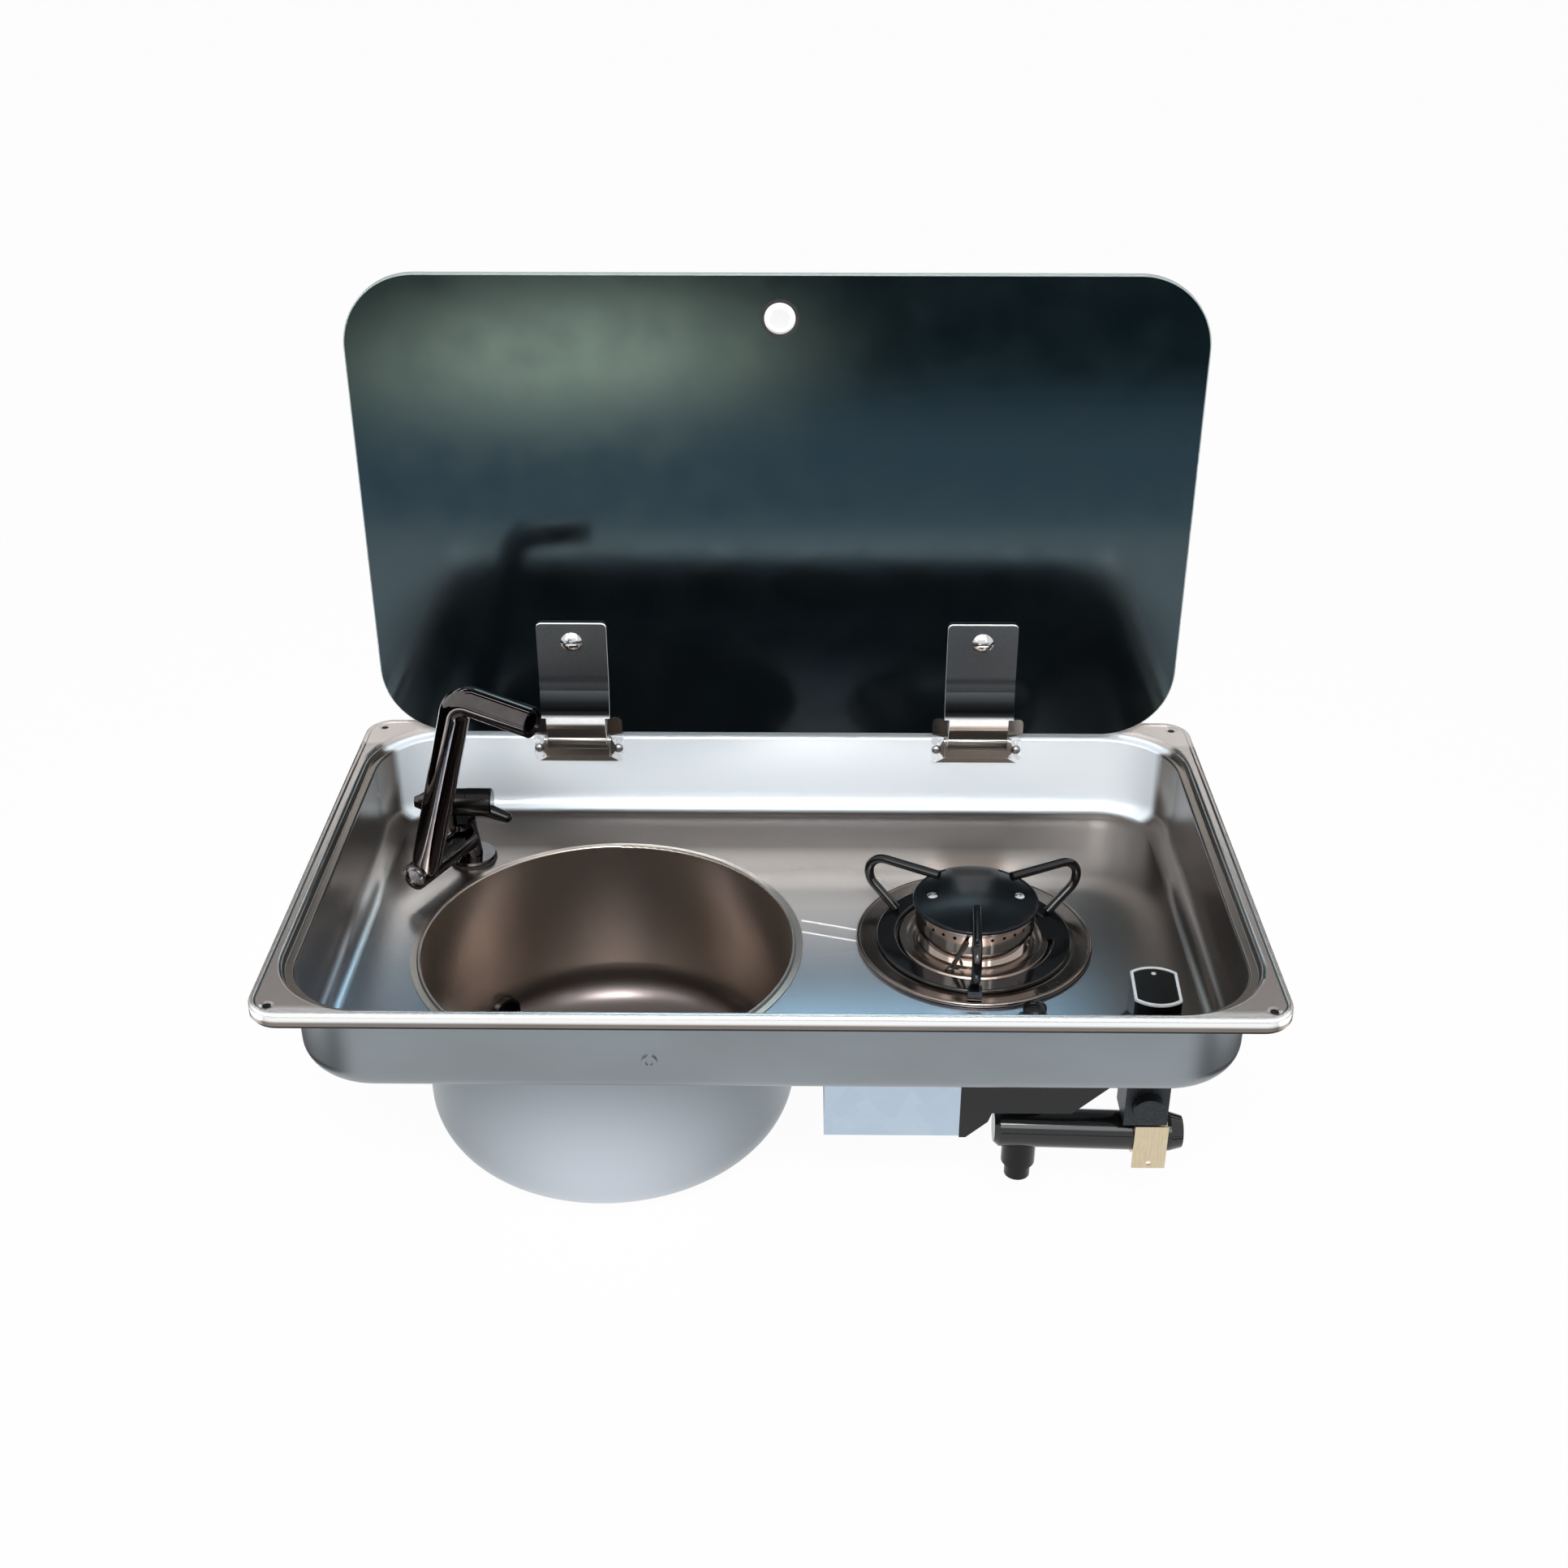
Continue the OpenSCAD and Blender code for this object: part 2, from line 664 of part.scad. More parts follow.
module bracket_rivets() {
  head_r = 3.2;
  dome_r = 3.6;
  color("gray") at_hinges() for (side = [-1, 1])
    translate([side * bracket_rivet_x, 0, bracket_rivet_z]) {
      rotate([90, 0, 0]) translate([0, 0, -base_front]) intersection() {
        cylinder(r = head_r, h = 3);
        translate([0, 0, 2 - dome_r]) sphere(r = dome_r);
      }
      cylinder_y([0, base_front - 0.01, 0], bracket_t, 4);
    }
}

// The spill dish lies on the tray's floor, and the burner stands in its middle
dish_sheet = 0.8;
dish_bead_r = 1.5;
pan_flat = floor_top + 1.1;
flange_top = floor_top + dish_sheet;
crown_top = floor_top + 26.5;
crown_band = 14;
band_foot = crown_top - crown_band;
port_z = crown_top - 4.5;
bore_in_crown = crown_d / 2 - 5.5;

module at_burner() { translate([burner_x, burner_y, 0]) children(); }

module probe_holes(d, low, high) {
  for (a = [electrode_turn, thermocouple_turn])
    translate(polar(probe_r, a)) translate([0, 0, low]) cylinder(d = d, h = high - low);
}

module burner_dish() {
  edge = dish_d / 2 - dish_bead_r;
  ring_in = support_ring_d / 2 - 12.5;
  half = dish_sheet / 2;
  color("silver") at_burner() difference() {
    rotate_extrude($fn = 120) {
      translate([edge, floor_top + dish_bead_r]) circle(r = dish_bead_r, $fn = 24);
      bars([
        [edge, floor_top + 2.2], [edge - 8.5, pan_flat], [ring_in, pan_flat],
        [ring_in - 1.4, pan_flat + 1.7], [ring_in - 5, pan_flat + 1.7],
        [ring_in - 6.2, pan_flat + 0.5], [ring_in - 8.5, pan_flat + 0.5],
        [ring_in - 9.8, floor_top + half], [neck_r + 3, floor_top + half]], dish_sheet);
    }
    probe_holes(6, floor_top - 5, floor_top + 10);
  }
}

module burner_base() {
  throat = 8;
  foot = floor_under - 34;
  color("silver") at_burner() rotate_extrude() polygon([
    [throat, foot], [12, foot], [12, foot + 4], [22, foot + 6], [30, foot + 12],
    [30, floor_under - 4], [neck_r + 10, floor_under - 3], [neck_r + 10, floor_under],
    [neck_r, floor_under], [neck_r, floor_top + 7], [throat, floor_top + 7]]);
}

module burner_crown() {
  outer = crown_d / 2;
  waist = outer - 3.5;
  foot = outer - 1;
  color("silver") at_burner() difference() {
    rotate_extrude($fn = 120) {
      translate([neck_r + 0.1, flange_top]) square([foot - neck_r - 0.1, 3]);
      translate([bore_in_crown, flange_top]) square([waist - bore_in_crown, band_foot + 1 - flange_top]);
      translate([waist, band_foot + 0.5]) difference() {
        translate([-1, -3.5]) square([4.5, 3.5]);
        translate([3.5, -3.5]) circle(r = 3.5);
      }
      translate([bore_in_crown, band_foot]) square([outer - bore_in_crown, crown_band]);
    }
    for (k = [0 : port_count - 1]) rotate([0, 0, (k + 0.5) * 360 / port_count])
      cylinder_x([bore_in_crown - 2, 0, port_z], 12, port_d, $fn = 16);
  }
}

// Cast cap with a shallow dome and a flat band over its middle
cap_top = crown_top + 7.3;
cap_edge_r = 1.2;
cap_rim = cap_d / 2 - cap_edge_r;
cap_rise = 4.9;
dome_r = (cap_rim * cap_rim + cap_rise * cap_rise) / (2 * cap_rise);
cap_rivet_x = 24.9;
cap_rivet_z = cap_top - 3.9;
rivet_d = 6.6;

module burner_cap() {
  band_w = 31;
  band_up = 0.5;
  spigot_r = bore_in_crown - 0.3;
  color("#141414") at_burner() difference() {
    union() {
      rotate_extrude($fn = 120) {
        intersection() {
          translate([0, cap_top - band_up - dome_r]) circle(r = dome_r, $fn = 360);
          translate([0, crown_top]) square([cap_rim, 20]);
        }
        translate([cap_rim, crown_top + cap_edge_r]) circle(r = cap_edge_r, $fn = 24);
      }
      translate([0, 0, crown_top - 3]) cylinder(r = spigot_r, h = 4);
      intersection() {
        translate([0, 0, cap_top - dome_r]) sphere(r = dome_r, $fn = 180);
        translate([-band_w / 2, -cap_rim, crown_top + 0.5]) cube([band_w, 2 * cap_rim, 20]);
        translate([0, 0, crown_top]) cylinder(r = cap_rim, h = 20);
      }
    }
    for (side = [-1, 1]) translate([side * cap_rivet_x, 0, 0]) {
      translate([0, 0, cap_rivet_z]) cylinder(d = rivet_d + 2 * seat_gap, h = 6);
      translate([0, 0, crown_top - 5])
        cylinder(d = rivet_d / 2 + 2 * seat_gap, h = cap_rivet_z - crown_top + 6);
    }
  }
}

module cap_rivets() {
  head_dome = 4.6;
  color("silver") at_burner() for (side = [-1, 1])
    translate([side * cap_rivet_x, 0, cap_rivet_z]) {
      intersection() {
        cylinder(d = rivet_d, h = 3);
        translate([0, 0, 2 - head_dome]) sphere(r = head_dome);
      }
      translate([0, 0, -5]) cylinder(d = rivet_d / 2, h = 5.01);
    }
}

// Three looped fingers of round wire on a flat ring
support_turns = [27, 150, 266];

module pan_support() {
  ring_t = 2.4;
  ring_z = pan_flat + dish_sheet / 2 + ring_t / 2;
  ring_out = support_ring_d / 2;
  finger_from = [24, cap_top + wire_d / 2 + 0.4];
  loop = [[35, 140], [19.5, 0]];
  color("#0c0c0c") at_burner() {
    rotate_extrude($fn = 120)
      bar([ring_out - 10.3, ring_z], [ring_out - ring_t / 2, ring_z], ring_t);
    for (a = support_turns) rotate([0, 0, a]) {
      rotate([90, 0, 0]) translate(finger_from) bent_run(loop, 11, wire_d);
    }
    rotate([0, 0, support_turns[2]])
      translate([ring_out - 1, -4, floor_top + 2.9]) cube([9, 8, 5.6]);
    rotate([0, 0, 8]) translate([ring_out - 17, -11, ring_z + 0.8]) cube([9, 22, 1.4]);
  }
}

module rod_between(a, b, d) {
  run = b - a;
  flat = norm([run.x, run.y]);
  translate(a) rotate([0, atan2(flat, run.z), atan2(run.y, run.x)]) cylinder(d = d, h = norm(run));
}

module ignition_electrode() {
  body_d = 4.8;
  foot = concat(polar(probe_r, electrode_turn), [floor_top + 4]);
  tip = concat(polar(crown_d / 2 + 3.5, electrode_turn + 13), [port_z + 1]);
  color("#2a2522") at_burner() {
    translate([foot.x, foot.y, foot.z - 23]) cylinder(d = body_d, h = 23);
    rod_between(foot, tip, 2.6);
    translate(foot) sphere(d = body_d);
  }
}

module thermocouple() {
  spot = polar(probe_r, thermocouple_turn);
  color("peru") at_burner() translate([spot.x, spot.y, 0]) {
    translate([0, 0, floor_under - 22]) cylinder(d = 3.2, h = 34);
    translate([0, 0, floor_under + 12]) cylinder(d = 4, h = 3);
    translate([0, 0, floor_under - 4]) cylinder(d = 9, h = 4);
  }
}

pipe_z = floor_under - 40.5;
pipe_d = 8;

module injector() {
  color("goldenrod") at_burner() {
    translate([0, 0, pipe_z - 5]) cylinder(r = 7.5, h = 10, $fn = 6);
    translate([0, 0, pipe_z + 5]) cylinder(r = 4, h = 4);
    cylinder_x([5, 0, pipe_z], 9, pipe_d + 1);
  }
}

valve_half = 12;
valve_neck_r = 6;

module burner_feed_pipe() {
  bend = 16;
  start = burner_x + 14.05;
  end = knob_y + valve_half + 7.05;
  color("peru") translate([start, burner_y, pipe_z])
    bent_run([[knob_x - start - bend, 90], [burner_y - end - bend, 0]], bend, pipe_d);
}

// Gas valve below the knob, with its plunger, spring and spindle
valve_bottom = floor_under - 50;
plunger_r = 7.4;
plunger_z = floor_under - 18;
plunger_h = 6;
spring_foot = plunger_z - 22;
collar_r = 5.2;
rail_y = knob_y + 2;
rail_left = knob_x - 81.5;
rail_right = knob_x + 23.5;
rail_z = floor_under - 62.5;
rail_fall = 1.6;
tail_x = rail_left + 15;

module at_knob() { translate([knob_x, knob_y, 0]) children(); }

// Children drawn along Z lie along the rail
module along_rail() {
  translate([rail_left, rail_y, rail_z]) rotate([0, 90 + rail_fall, 0]) children();
}

module rail_relief() {
  along_rail() translate([0, 0, -10])
    cylinder(d = rail_d + 2 * seat_gap, h = rail_right - rail_left + 30);
}

module gas_valve_body() {
  rail_here = rail_z - (knob_x - rail_left) * tan(rail_fall);
  color("#26282a") difference() {
    at_knob() union() {
      translate([-valve_half, -valve_half, valve_bottom])
        cube([2 * valve_half, 2 * valve_half, floor_under - 2 - valve_bottom]);
      translate([0, 0, floor_under - 2.01]) cylinder(r = 9, h = 2.01);
      cylinder_y([0, valve_half - 0.1, pipe_z], 7.1, 11);
      cylinder_y([0, -valve_half - 7, valve_bottom + 14], 7.1, 17);
      cylinder_x([-valve_half - 8, 0, valve_bottom + 34], 8.1, 20);
      translate([0, rail_y - knob_y, rail_here])
        cylinder(r = valve_neck_r, h = valve_bottom - rail_here + 1);
    }
    at_knob() {
      translate([0, 0, spring_foot])
        cylinder(r = plunger_r + running_gap, h = floor_under - 6 - spring_foot);
      translate([0, 0, floor_under - 12]) cylinder(d = spindle_d + 2 * running_gap, h = 20);
    }
    rail_relief();
  }
}

module valve_plunger() {
  color("goldenrod") at_knob() translate([0, 0, plunger_z]) difference() {
    cylinder(r = plunger_r, h = plunger_h);
    translate([0, 0, -1]) cylinder(d = spindle_d + 2 * running_gap, h = plunger_h + 2);
  }
}

module valve_spring() {
  color("silver") at_knob() translate([0, 0, spring_foot]) difference() {
    cylinder(r = 7, h = plunger_z - spring_foot);
    translate([0, 0, -1]) cylinder(r = collar_r + 0.3, h = plunger_z - spring_foot + 2);
  }
}

bezel_t = 0.7;
knob_top = floor_top + 34;
skirt_bottom = floor_top + bezel_t + knob_travel + 0.3;
trim_w = 1.5;
trim_h = 1.2;
socket_top = knob_top - 5;

module valve_spindle() {
  color("silver") at_knob() {
    translate([0, 0, spring_foot + 8])
      cylinder(d = spindle_d, h = socket_top - 0.5 - spring_foot - 8);
    translate([0, 0, plunger_z - 1.5 - running_gap]) cylinder(r = collar_r, h = 1.5);
    translate([0, 0, plunger_z + plunger_h + running_gap]) cylinder(r = collar_r, h = 1.5);
  }
}

module grip_outline(inset) {
  intersection() {
    circle(d = knob_d - 2 * inset);
    square([knob_flats - 2 * inset, knob_d], center = true);
  }
}

dot_d = 2.5;
dot_y = 12;

module gas_knob() {
  grip_turn = -3;
  skirt_r = knob_d / 2 + 1;
  grip_foot = skirt_bottom + 2.5;
  color("#1b1d1f") at_knob() rotate([0, 0, grip_turn]) difference() {
    union() {
      translate([0, 0, grip_foot])
        linear_extrude(height = knob_top - trim_h - grip_foot) grip_outline(0);
      translate([0, 0, grip_foot])
        linear_extrude(height = knob_top - 0.4 - grip_foot) grip_outline(trim_w + 0.1);
      translate([0, 0, skirt_bottom]) cylinder(r = skirt_r, h = 2);
      translate([0, 0, skirt_bottom + 2]) cylinder(r1 = skirt_r, r2 = skirt_r - 3, h = 4);
    }
    translate([0, 0, floor_top])
      cylinder(d = spindle_d + 2 * running_gap, h = socket_top - floor_top);
    translate([0, dot_y, knob_top - 1]) cylinder(d = dot_d + 2 * seat_gap, h = 2);
  }
}

module knob_trim() {
  color("silver") at_knob() rotate([0, 0, -3]) {
    translate([0, 0, knob_top - trim_h]) linear_extrude(height = trim_h) difference() {
      grip_outline(0);
      grip_outline(trim_w);
    }
    translate([0, dot_y, knob_top - 1]) cylinder(d = dot_d, h = 0.7);
  }
}

module knob_bezel() {
  color("#303030") at_knob() translate([0, 0, floor_top]) difference() {
    cylinder(r = 9, h = bezel_t);
    translate([0, 0, -1]) cylinder(r = knob_hole_r, h = 3);
  }
}

module gas_rail() {
  length = (rail_right - rail_left) / cos(rail_fall);
  taper = 7;
  color("#101010") along_rail() {
    cylinder(r1 = rail_d / 2 - 2.5, r2 = rail_d / 2, h = 3);
    translate([0, 0, 3]) cylinder(d = rail_d, h = length - taper - 3);
    translate([0, 0, length - taper]) cylinder(r1 = rail_d / 2, r2 = rail_d / 2 - 2, h = taper);
  }
}

module gas_hose_tail() {
  shoulder_z = rail_z - 23.5;
  tip_z = shoulder_z - 9.4;
  wide_d = 19;
  color("#121212") {
    difference() {
      translate([tail_x, rail_y, shoulder_z]) cylinder(d = wide_d, h = rail_z - shoulder_z);
      rail_relief();
    }
    translate([tail_x, rail_y, tip_z]) cylinder(d = hose_tail_d, h = shoulder_z - tip_z + 0.01);
  }
}

module pipe_clip() {
  clip_w = 18.5;
  clip_x = knob_x - 4.5;
  clip_t = 1.2;
  inner = rail_d / 2 + seat_gap;
  front = rail_y - inner - clip_t;
  low = rail_z - 19.2;
  high = rail_z + 9.8;
  color("khaki") difference() {
    union() {
      along_rail() translate([0, 0, clip_x - rail_left]) cylinder(r = inner + clip_t, h = clip_w);
      translate([clip_x, front, low]) cube([clip_w, clip_t, high - low]);
    }
    rail_relief();
    translate([knob_x, rail_y, rail_z]) cylinder(r = valve_neck_r + 0.4, h = 30);
    cylinder_y([clip_x + clip_w / 2, front - 2, low + 3.4], 6, 3);
  }
}

shield_w = 75;
shield_d = 58;
shield_h = 63;
shield_beside = 13;
shield_before = 42;
shield_notch = 18;
shield_right = burner_x - shield_beside;
shield_left = shield_right - shield_w;
shield_back = burner_y - shield_before;
shield_front = shield_back - shield_d;
shield_bottom = floor_under - shield_h;

module valve_bracket() {
  plate_t = 1.5;
  left = shield_right + 0.3;
  top = floor_under;
  right = knob_x - valve_half - 8;
  notch_left = left + 17.7;
  notch_right = right - 19.5;
  notch_top = top - 48;
  color("#1c1c1e") {
    translate([0, shield_front + 1 + plate_t, 0]) rotate([90, 0, 0])
      linear_extrude(height = plate_t) polygon([
        [left, top], [right, top], [right, top - 30], [notch_right, notch_top],
        [notch_left, notch_top], [notch_left - 2, top - 54], [left + 3.7, top - 65], [left, top - 65]]);
    translate([left, shield_front + 1, top - plate_t]) cube([notch_right - 8 - left, 4, plate_t]);
  }
}

module heat_shield_box() {
  notch_z = floor_under - shield_notch;
  color("gainsboro") difference() {
    translate([shield_left, shield_front, shield_bottom])
      cube([shield_w, shield_d, shield_h]);
    translate([shield_left + sheet, shield_front + sheet, shield_bottom - 1])
      cube([shield_w - 2 * sheet, shield_d + 1, shield_h + 1 - sheet]);
    translate([shield_left - 1, shield_front - 1, notch_z]) cube([2, 8, 2]);
  }
}

// Push-button igniter, clamped in the floor by a ring nut
igniter_bottom = floor_under - 42;
button_foot = floor_under - 14;
igniter_bore_end = button_foot - button_travel - 5;
button_top = floor_top + 14.5;

module at_button() { translate([button_x, button_y, 0]) children(); }

module igniter_body() {
  color("#222222") at_button() difference() {
    union() {
      translate([0, 0, floor_under - 3]) cylinder(r = barrel_r + 3, h = 3);
      translate([0, 0, igniter_bottom]) cylinder(r = barrel_r + 1.5, h = floor_under - igniter_bottom - 2);
      translate([0, 0, floor_under - 1]) cylinder(r = barrel_r, h = sheet + 4);
      translate([0, 0, igniter_bottom - 6]) cylinder(r = 2, h = 6.1);
    }
    translate([0, 0, igniter_bore_end]) cylinder(d = button_d + 2 * running_gap, h = 40);
  }
}

module igniter_nut() {
  color("#161616") at_button() translate([0, 0, floor_top]) difference() {
    cylinder(r = barrel_r + 2.5, h = 2.2);
    translate([0, 0, -1]) cylinder(r = barrel_r + seat_gap, h = 5);
  }
}

module igniter_button() {
  dome = 9;
  color("#0e0e0e") at_button() {
    translate([0, 0, button_foot]) cylinder(d = button_d, h = button_top - 2.7 - button_foot);
    intersection() {
      translate([0, 0, button_top - dome]) sphere(r = dome);
      translate([0, 0, button_top - 2.75]) cylinder(d = button_d, h = 4);
    }
  }
}

module igniter_spring() {
  color("silver") at_button() translate([0, 0, igniter_bore_end]) difference() {
    cylinder(r = 5, h = button_foot - igniter_bore_end);
    translate([0, 0, -1]) cylinder(r = 3.8, h = 20);
  }
}

// Folding tap: column and valve barrel, and an arm that the spout folds about
base_seal_t = 1;
column_lean = 5.5;
column_top = fold_z + 10;
stud_end = floor_under - 12;
gland_left = tap_x - 8;
gland_right = tap_x - 1;
handle_right = tap_x + 15;
barrel_left = tap_x - 26;
spindle_r = 4;
arm_end = -34.9;
shaft_end = -55.3;
sleeve_end = -58;
spout_y = -49;
spout_foot = [4, -31];
spout_lean = 73.5;
spout_turn = 79;
spout_wall = 1.5;

module at_tap() { translate([tap_x, tap_y, 0]) children(); }

// The folding axis runs along Y here
module at_fold() { at_tap() rotate([0, 0, -fold_turn]) translate([0, 0, fold_z]) children(); }

module tap_base_seal() {
  color("#1a1a1a") at_tap() translate([0, 0, floor_top]) difference() {
    cylinder(r = base_seal_r, h = base_seal_t);
    translate([0, 0, -1]) cylinder(r = tap_stud_r + 0.3, h = 4);
  }
}

module tap_body() {
  foot = floor_top + base_seal_t;
  foot_h = 2.5;
  top_x = -column_lean;
  rise = column_top - foot - foot_h;
  neck_x = tap_x - 13;
  color("silver") difference() {
    union() {
      at_tap() {
        translate([0, 0, foot]) cylinder(r = base_r, h = foot_h);
        translate([0, 0, stud_end]) cylinder(r = tap_stud_r, h = foot - stud_end + 1);
        translate([0, 0, foot + foot_h - 0.5]) rotate([0, -atan(column_lean / rise), 0])
          cylinder(r1 = 6.5, r2 = 9, h = norm([column_lean, rise]));
        translate([top_x, 0, column_top - 2]) cylinder(r = 9, h = 2.5);
      }
      translate([neck_x, tap_y, column_top - 1.5]) cylinder(r = 4.8, h = valve_z - column_top + 1.5);
      cylinder_x([barrel_left, tap_y, valve_z], gland_left - barrel_left, 16);
      at_fold() {
        cylinder_y([0, arm_end, 0], -arm_end - 4, sleeve_d);
        cylinder_y([0, shaft_end, 0], -shaft_end - 10, shaft_d);
      }
    }
    cylinder_x([barrel_left + 2, tap_y, valve_z], 40, 2 * (spindle_r + running_gap));
    at_fold() cylinder_y([0, shaft_end - 1, 0], 12, 4.2);
  }
}

module tap_gland() {
  color("#151515") difference() {
    cylinder_x([gland_left + 0.02, tap_y, valve_z], gland_right - gland_left - 0.02, 17.2);
    cylinder_x([gland_left - 1, tap_y, valve_z], 20, 2 * (spindle_r + running_gap));
  }
}

module tap_spindle() {
  color("goldenrod")
    cylinder_x([barrel_left + 3, tap_y, valve_z], handle_right - 5.5 - barrel_left, 2 * spindle_r);
}

module tap_handle() {
  left = gland_right + 0.4;
  barrel_d = 17.6;
  color("#0f0f0f") difference() {
    union() {
      cylinder_x([left, tap_y, valve_z], handle_right - left - 1, barrel_d);
      translate([handle_right - 1.01, tap_y, valve_z]) rotate([0, 90, 0])
        cylinder(d1 = barrel_d, d2 = barrel_d - 2, h = 1);
      hull() {
        translate([handle_right - 6, tap_y - 2.5, valve_z - 3]) sphere(r = 4.6, $fn = 32);
        translate([handle_right + 9, tap_y - 5, valve_z - 8]) sphere(r = 3.4, $fn = 32);
      }
    }
    cylinder_x([left - 2, tap_y, valve_z], handle_right - 2 - left + 2, 2 * (spindle_r + running_gap));
  }
}

module tap_cap() {
  color("silver") translate([barrel_left - 0.05, tap_y, valve_z]) rotate([0, -90, 0]) {
    cylinder(r1 = 7.2, r2 = 4.6, h = 4);
    translate([0, 0, 4]) cylinder(r1 = 4.6, r2 = 3.4, h = 3);
  }
}

neck_len = (spout_foot.y - fold_z) / sin(spout_lean);

// X runs along the spout from its foot, in the spout's own plane
module at_spout_foot() {
  at_fold() translate([0, spout_y, -fold_z]) rotate([90, 0, 0])
    translate(spout_foot) rotate([0, 0, spout_lean]) children();
}

// X runs along the outlet from the end of the bend
module at_outlet() {
  at_spout_foot() translate([spout_rise, -spout_bend, 0]) rotate([0, 0, -spout_turn])
    translate([0, spout_bend, 0]) children();
}

module swivel_sleeve() {
  plug_len = 8;
  color("silver") difference() {
    union() {
      at_fold() cylinder_y([0, sleeve_end, 0], arm_end - 0.3 - sleeve_end, sleeve_d);
      at_spout_foot() {
        cylinder_x([-neck_len, 0, 0], neck_len - 0.1, spout_d - 2);
        cylinder_x([-neck_len, 0, 0], neck_len + plug_len, spout_d - 2 * spout_wall - 0.1);
      }
    }
    at_fold() {
      cylinder_y([0, sleeve_end - 1, 0], 40, shaft_d + 2 * running_gap);
      cylinder_y([0, sleeve_end - 1, 0], shaft_end - sleeve_end + 1, sleeve_d - 3.2);
    }
  }
}

module swivel_screw() {
  washer_d = sleeve_d - 4;
  color("silver") at_fold() {
    cylinder_y([0, shaft_end - 0.65, 0], 0.6, washer_d);
    cylinder_y([0, shaft_end - 2.2, 0], 1.6, 8);
    cylinder_y([0, shaft_end - 0.1, 0], 10, 4);
  }
}

module spout() {
  past = 2;
  color("silver") at_spout_foot() difference() {
    bent_run([[spout_rise, spout_turn], [spout_reach, 0]], spout_bend, spout_d);
    translate([-past, 0, 0]) bent_run([[spout_rise + past, spout_turn], [spout_reach + past, 0]],
      spout_bend, spout_d - 2 * spout_wall);
  }
}

module outlet_nozzle() {
  length = 8;
  outer = spout_d - 2 * spout_wall - 0.1;
  color("gray") at_outlet() difference() {
    cylinder_x([spout_reach - length - 1, 0, 0], length, outer);
    cylinder_x([spout_reach - length - 2, 0, 0], length + 2, outer - 4);
  }
}

module tap_washer() {
  color("#1a1a1a") at_tap() translate([0, 0, floor_under - 2]) difference() {
    cylinder(r = base_r - 1, h = 2);
    translate([0, 0, -1]) cylinder(r = tap_stud_r + 0.2, h = 4);
  }
}

module tap_nut() {
  color("goldenrod") at_tap() translate([0, 0, floor_under - 8]) difference() {
    cylinder(r = 12, h = 6, $fn = 6);
    translate([0, 0, -1]) cylinder(r = tap_stud_r + 0.08, h = 8);
  }
}

// An elbow, so that the hose clears the waste spigot below
module tap_tail() {
  nut_end = stud_end - 8;
  tail_d = 10.06;
  color("goldenrod") at_tap() {
    translate([0, 0, nut_end]) cylinder(r = 8, h = 7.95);
    translate([0, 0, nut_end + 0.5]) rotate([0, 0, -90]) rotate([0, 90, 0])
      bent_run([[4, 90], [24, 0]], 9, tail_d);
  }
}

tray();
rim_seal();
bowl();
waste_spigot();
front_wall_rivet();
lid_glass();
lid_knob();
lid_knob_cap();
lid_knob_washers();
hinge_strap_left();
hinge_strap_right();
strap_screws();
strap_cap_nuts();
clamp_plates();
hinge_bracket_left();
hinge_bracket_right();
hinge_pin_left();
hinge_pin_right();
bracket_rivets();
burner_dish();
burner_base();
burner_crown();
burner_cap();
cap_rivets();
pan_support();
ignition_electrode();
thermocouple();
injector();
burner_feed_pipe();
gas_valve_body();
valve_plunger();
valve_spring();
valve_spindle();
gas_knob();
knob_trim();
knob_bezel();
gas_rail();
gas_hose_tail();
pipe_clip();
valve_bracket();
heat_shield_box();
igniter_body();
igniter_nut();
igniter_button();
igniter_spring();
tap_base_seal();
tap_body();
tap_gland();
tap_spindle();
tap_handle();
tap_cap();
swivel_sleeve();
swivel_screw();
spout();
outlet_nozzle();
tap_nut();
tap_washer();
tap_tail();
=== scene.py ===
import math
import bpy
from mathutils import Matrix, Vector


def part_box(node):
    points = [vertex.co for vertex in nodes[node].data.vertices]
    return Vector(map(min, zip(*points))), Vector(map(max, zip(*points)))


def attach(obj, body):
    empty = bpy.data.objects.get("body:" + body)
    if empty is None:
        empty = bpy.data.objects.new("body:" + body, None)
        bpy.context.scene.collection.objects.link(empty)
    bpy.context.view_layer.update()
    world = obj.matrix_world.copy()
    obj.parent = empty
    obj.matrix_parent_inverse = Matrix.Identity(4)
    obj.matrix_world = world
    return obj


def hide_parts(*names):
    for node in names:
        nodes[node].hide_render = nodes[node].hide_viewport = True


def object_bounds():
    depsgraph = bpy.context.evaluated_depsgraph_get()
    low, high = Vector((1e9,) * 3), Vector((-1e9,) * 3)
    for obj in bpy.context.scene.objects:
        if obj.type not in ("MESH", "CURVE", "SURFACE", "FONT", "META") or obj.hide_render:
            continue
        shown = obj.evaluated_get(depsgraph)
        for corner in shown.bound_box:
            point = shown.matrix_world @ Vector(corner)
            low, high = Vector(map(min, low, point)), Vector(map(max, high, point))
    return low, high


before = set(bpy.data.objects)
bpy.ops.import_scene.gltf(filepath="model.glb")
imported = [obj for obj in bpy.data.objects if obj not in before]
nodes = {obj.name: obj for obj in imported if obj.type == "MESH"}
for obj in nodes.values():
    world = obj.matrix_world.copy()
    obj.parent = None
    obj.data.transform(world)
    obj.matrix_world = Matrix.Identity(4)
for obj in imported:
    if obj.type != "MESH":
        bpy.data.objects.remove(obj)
cadBox = [list(corner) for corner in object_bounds()]
mm = 0.001
print("frame loaded:", len(nodes), "nodes")

